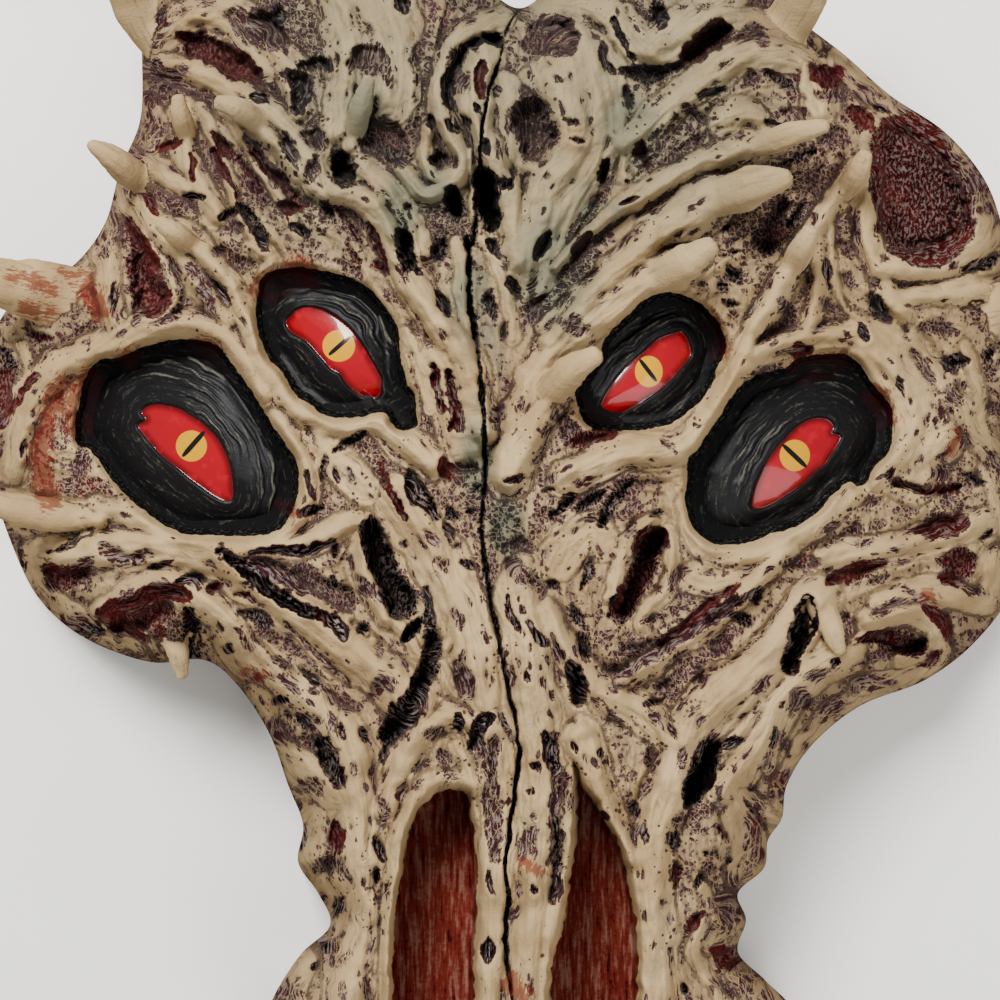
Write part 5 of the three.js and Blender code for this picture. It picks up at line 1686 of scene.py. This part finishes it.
def painted_cast(grain):
    """Bone paint over dark hollows. A hollow's edge is broken by the grain, by cells and by
    streaks that run along the struts, and so is the dry brush that scratches its wash. The bone
    is painted with shade round the hollows and in low places and painted lighter on raised crests,
    a painted highlight; the forehead is smoked grey, the bone and the sockets are stained red in
    places, the sockets are black, the jaw's windows have red floors, and the inside is brown."""
    material, w, spot, made = new_paint("painted cast", grain)
    flow = w.attribute("flow")
    wash, pitch, speckled = w.split(w.attribute("hollows"))
    red, stain, smoke = w.split(w.attribute("tints"))
    shade, porous, floor = w.split(w.attribute("forms"))
    black, inner, highlight_and_wear = w.split(w.attribute("masks"))
    w.feed(made.inputs["Pores"], porous)
    texture, specks = made.outputs["Grain"], made.outputs["Specks"]
    broad = w.noise(spot, 50, 2, 0.6)

    bent = w.vector("ADD", w.scaled(flow, (0.3, 0.56, 0)), w.times(texture, 0.6))
    net = w.ramp(w.cells(bent, 1.0, "DISTANCE_TO_EDGE")["Distance"], 0.1, 0.02)
    brush = w.plus(w.noise(w.scaled(flow, (0.35, 1.4, 0)), 1.0, 3, 0.7, "2D"), w.times(texture, 0.2))
    ridges = w.most(w.times(net, 0.8), w.ramp(brush, 0.6, 0.7))
    chance = w.split(w.cells(bent, 1.0)["Color"])[0]
    streak = w.ramp(w.noise(w.scaled(flow, (0.10, 0.9, 0)), 1.0, 1, 0.6, "2D"), 0.56, 0.72)
    patches = w.times(speckled, w.centred(chance, 0.6))
    edge = w.plus(wash, w.times(texture, 0.4), patches, w.times(streak, 0.16))
    hollow = w.ramp(w.less(edge, w.times(speckled, ridges, 0.7)), 0.43, 0.53)
    hollow = w.most(hollow, w.times(specks, 0.9))
    unshaded = w.less(1.0, w.times(shade, 0.5))
    scratches = w.times(w.ramp(brush, 0.5, 0.58), w.ramp(speckled, 0.0, 0.5), unshaded)

    bone = w.mix(w.ramp(broad, 0.3, 0.7), BONE_TAN, BONE_PALE)
    bone = w.mix(w.times(w.ramp(texture, 0.1, 0.6), 0.38), bone, BONE_SHADED)
    # Painted shade: the bone darkens round the hollows' edges, where the shade field is high and along the
    # streaks, less on the painted highlight of raised crests.
    halo = w.plus(w.times(w.ramp(edge, 0.1, 0.5), 0.22), w.times(shade, 0.5), w.times(streak, 0.3))
    bone = w.mix(w.most(w.plus(halo, w.times(highlight_and_wear, -0.25)), 0.0), bone, BONE_SHADED)
    colour = w.mix(hollow, bone, pit_paint(w, pitch, wash, red, broad, texture, scratches))
    smoked = w.times(smoke, w.ramp(w.plus(broad, w.times(texture, 0.3)), 0.2, 0.5), 0.85)
    colour = w.mix(smoked, colour, w.mix(hollow, SMOKE, SMOKE_DARK))
    scraped = w.plus(stain, w.times(texture, 0.5), w.centred(brush, -1.6))
    colour = w.mix(w.times(w.ramp(scraped, 0.4, 0.7), 0.75), colour, STAIN_RED)

    in_window = w.ramp(w.plus(floor, w.times(texture, 0.2)), 0.46, 0.56)
    colour = w.mix(in_window, colour, floor_paint(w, spot, texture))
    in_socket = w.ramp(w.plus(black, w.times(texture, 0.3)), 0.44, 0.54)
    colour = w.mix(in_socket, colour, lid_paint(w, w.ramp(texture, 0.0, 0.5), stain, texture))
    colour = w.mix(inner, colour, w.mix(w.ramp(broad, 0.35, 0.65), INSIDE_DARK, INSIDE_BROWN))

    roughness = w.plus(0.6, w.times(texture, 0.16), w.times(hollow, -0.06), w.times(in_socket, -0.2))
    raised = w.plus(w.times(hollow, -0.5), w.times(scratches, 0.25), w.times(texture, 0.4))
    raised = w.plus(raised, w.times(specks, -0.5))
    finish_paint(w, colour, roughness, raised, 0.8, 0.0006, 0.0)
    return material


def painted_eye(grain):
    """Black lids, paler on their folds and in fine strokes round the opening, and a clear-coated
    eye: red in the opening and darker to its edge, with a yellow disc and a black slit across it
    that narrows to its ends."""
    material, w, spot, made = new_paint("painted eye", grain, 0.1)
    reached = w.attribute("eye")
    along, across, past = w.split(reached)
    disc, folds, stain = w.split(w.attribute("lids"))
    texture = made.outputs["Grain"]

    opening = w.ramp(w.plus(past, w.times(texture, 0.35)), 0.06, -0.06)
    eye = w.mix(w.ramp(past, -0.1, -2.2), EYE_DEEP, EYE_RED)
    eye = w.mix(w.times(w.ramp(w.noise(spot, 260, 2, 0.5), 0.55, 0.75), 0.4), eye, EYE_RIM)
    eye = w.mix(w.ramp(w.plus(disc, w.times(texture, 0.03)), 1.02, 0.97), eye, IRIS_YELLOW)
    left_over = w.most(w.less(1.1, w.math("POWER", along, 4.0)), 0.0)
    half_width = w.times(w.math("SQRT", left_over), 0.15)
    slit = w.ramp(w.less(w.math("ABSOLUTE", across), half_width), 0.02, -0.02)
    eye = w.mix(w.times(slit, w.ramp(half_width, 0.0, 0.03)), eye, LID_BLACK)
    strokes = w.noise(w.scaled(reached, (0.7, 0.7, 1.4)), 1.0, 3, 0.7)
    brushed = w.plus(w.times(folds, 0.6), w.times(texture, 0.6), w.centred(strokes, 2.2))
    colour = w.mix(opening, lid_paint(w, w.ramp(brushed, 0.1, 0.95), stain, texture), eye)
    roughness = w.plus(0.5, w.times(texture, 0.14), w.times(opening, -0.28))
    raised = w.plus(w.times(texture, 0.5), w.times(made.outputs["Specks"], -0.4))
    raised = w.times(raised, w.less(1.0, opening))
    surface = finish_paint(w, colour, roughness, raised, 0.4, 0.0003, 0.15)
    w.feed(surface.inputs["Coat Weight"], w.times(opening, 0.6))
    surface.inputs["Coat Roughness"].default_value = 0.06
    return material


def grow_horns():
    """The horns, in lists by the quarter of the face that they grow from: upper or lower, and
    left or right."""
    horns = {(upper, left): [] for upper in (True, False) for left in (True, False)}
    for name, (radii, path) in SPINES.items():
        x, y = path[0][:2]
        left = x < SHEET_MIDDLE
        seam = even_path(LEFT_SEAM if left else RIGHT_SEAM, EVEN_SHARES)
        upper = y < np.interp(x, seam[:, 0], seam[:, 1])
        horns[upper, left].append(horn(name, radii, path))
    return horns


def build_mask():
    """Four quarters of the shell with their horns, and four eyes, as one physical piece."""
    SHEET["height"] = recess_under_eyes(SHEET["height"])
    inside = inside_solid()
    horns = grow_horns()
    grain = grain_group()
    cast, eye_paint = painted_cast(grain), painted_eye(grain)
    seams = [even_path(line, EVEN_SHARES) for line in (LEFT_SEAM, RIGHT_SEAM, CRACK)]
    pieces = []
    for upper, left in horns:
        name = f"{'upper' if upper else 'lower'}_{'left' if left else 'right'}"
        piece = quarter_solid(name, upper, left)
        join_and_cut(piece, horns[upper, left], [inside])
        soften_joins(piece)
        smooth_but_for_rim(piece, seams)
        paint_face(piece)
        pieces.append(piece)
    for tool in sum(horns.values(), [inside]):
        bpy.data.objects.remove(tool)
    for name, eye in EYES.items():
        piece = eye_solid(f"{name}_eye", eye)
        paint_eye(piece, eye)
        pieces.append(piece)
    for piece in pieces:
        piece.data.materials.clear()
        piece.data.materials.append(eye_paint if piece.name.endswith("eye") else cast)
        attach(piece, "root")
    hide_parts("demon_mask")


def lay_table():
    """A pale tabletop under the mask, with a faint mottle."""
    size = 3.0
    corners = np.array([(-size, -size, 0), (size, -size, 0), (size, size, 0), (-size, size, 0)], float)
    table = new_object("table", corners, [[0, 1, 2, 3]])
    material = bpy.data.materials.new("pale table")
    material.use_nodes = True
    w = Wiring(material.node_tree)
    shader = material.node_tree.nodes["Principled BSDF"]
    spot = w.node("ShaderNodeTexCoord").outputs["Object"]
    shade = w.mix(w.ramp(w.noise(spot, 6, 3, 0.6), 0.3, 0.7), TABLE_DULL, TABLE_PALE)
    w.feed(shader.inputs["Base Color"], shade)
    shader.inputs["Roughness"].default_value = 0.6
    table.data.materials.append(material)


def light_room():
    """A strong lamp over the crown and a wider, weaker one beside the jaw, both turned to the
    mask's middle, in a room of even light."""
    aim_height = 0.05
    for name, (lamp_place, watts, width) in LAMPS.items():
        lamp = bpy.data.lights.new(name, "AREA")
        lamp.energy, lamp.size = watts, width
        obj = bpy.data.objects.new(name, lamp)
        obj.location = lamp_place
        east, north, up = np.array([0, 0, aim_height]) - lamp_place
        obj.rotation_euler = (math.atan2(math.hypot(east, north), -up), 0, math.atan2(-east, north))
        bpy.context.collection.objects.link(obj)
    world = bpy.data.worlds.new("room")
    world.use_nodes = True
    light = world.node_tree.nodes["Background"].inputs
    light["Color"].default_value, light["Strength"].default_value = ROOM_COLOUR, ROOM_STRENGTH
    bpy.context.scene.world = world


def set_camera():
    """Straight above the middle of the sheet, at the sheet's own eye height and scale."""
    lens = bpy.data.cameras.new("camera")
    lens.sensor_width = FILM_WIDTH
    lens.lens = FILM_WIDTH * (EYE_HEIGHT - MID_HEIGHT) / (SHEET_SIDE * SHEET_MM)
    obj = bpy.data.objects.new("camera", lens)
    obj.location = (-ORIGIN_X * MILLIMETRE, -ORIGIN_Y * MILLIMETRE, EYE_HEIGHT * MILLIMETRE)
    bpy.context.collection.objects.link(obj)
    bpy.context.scene.camera = obj


set_camera()
build_mask()
lay_table()
light_room()
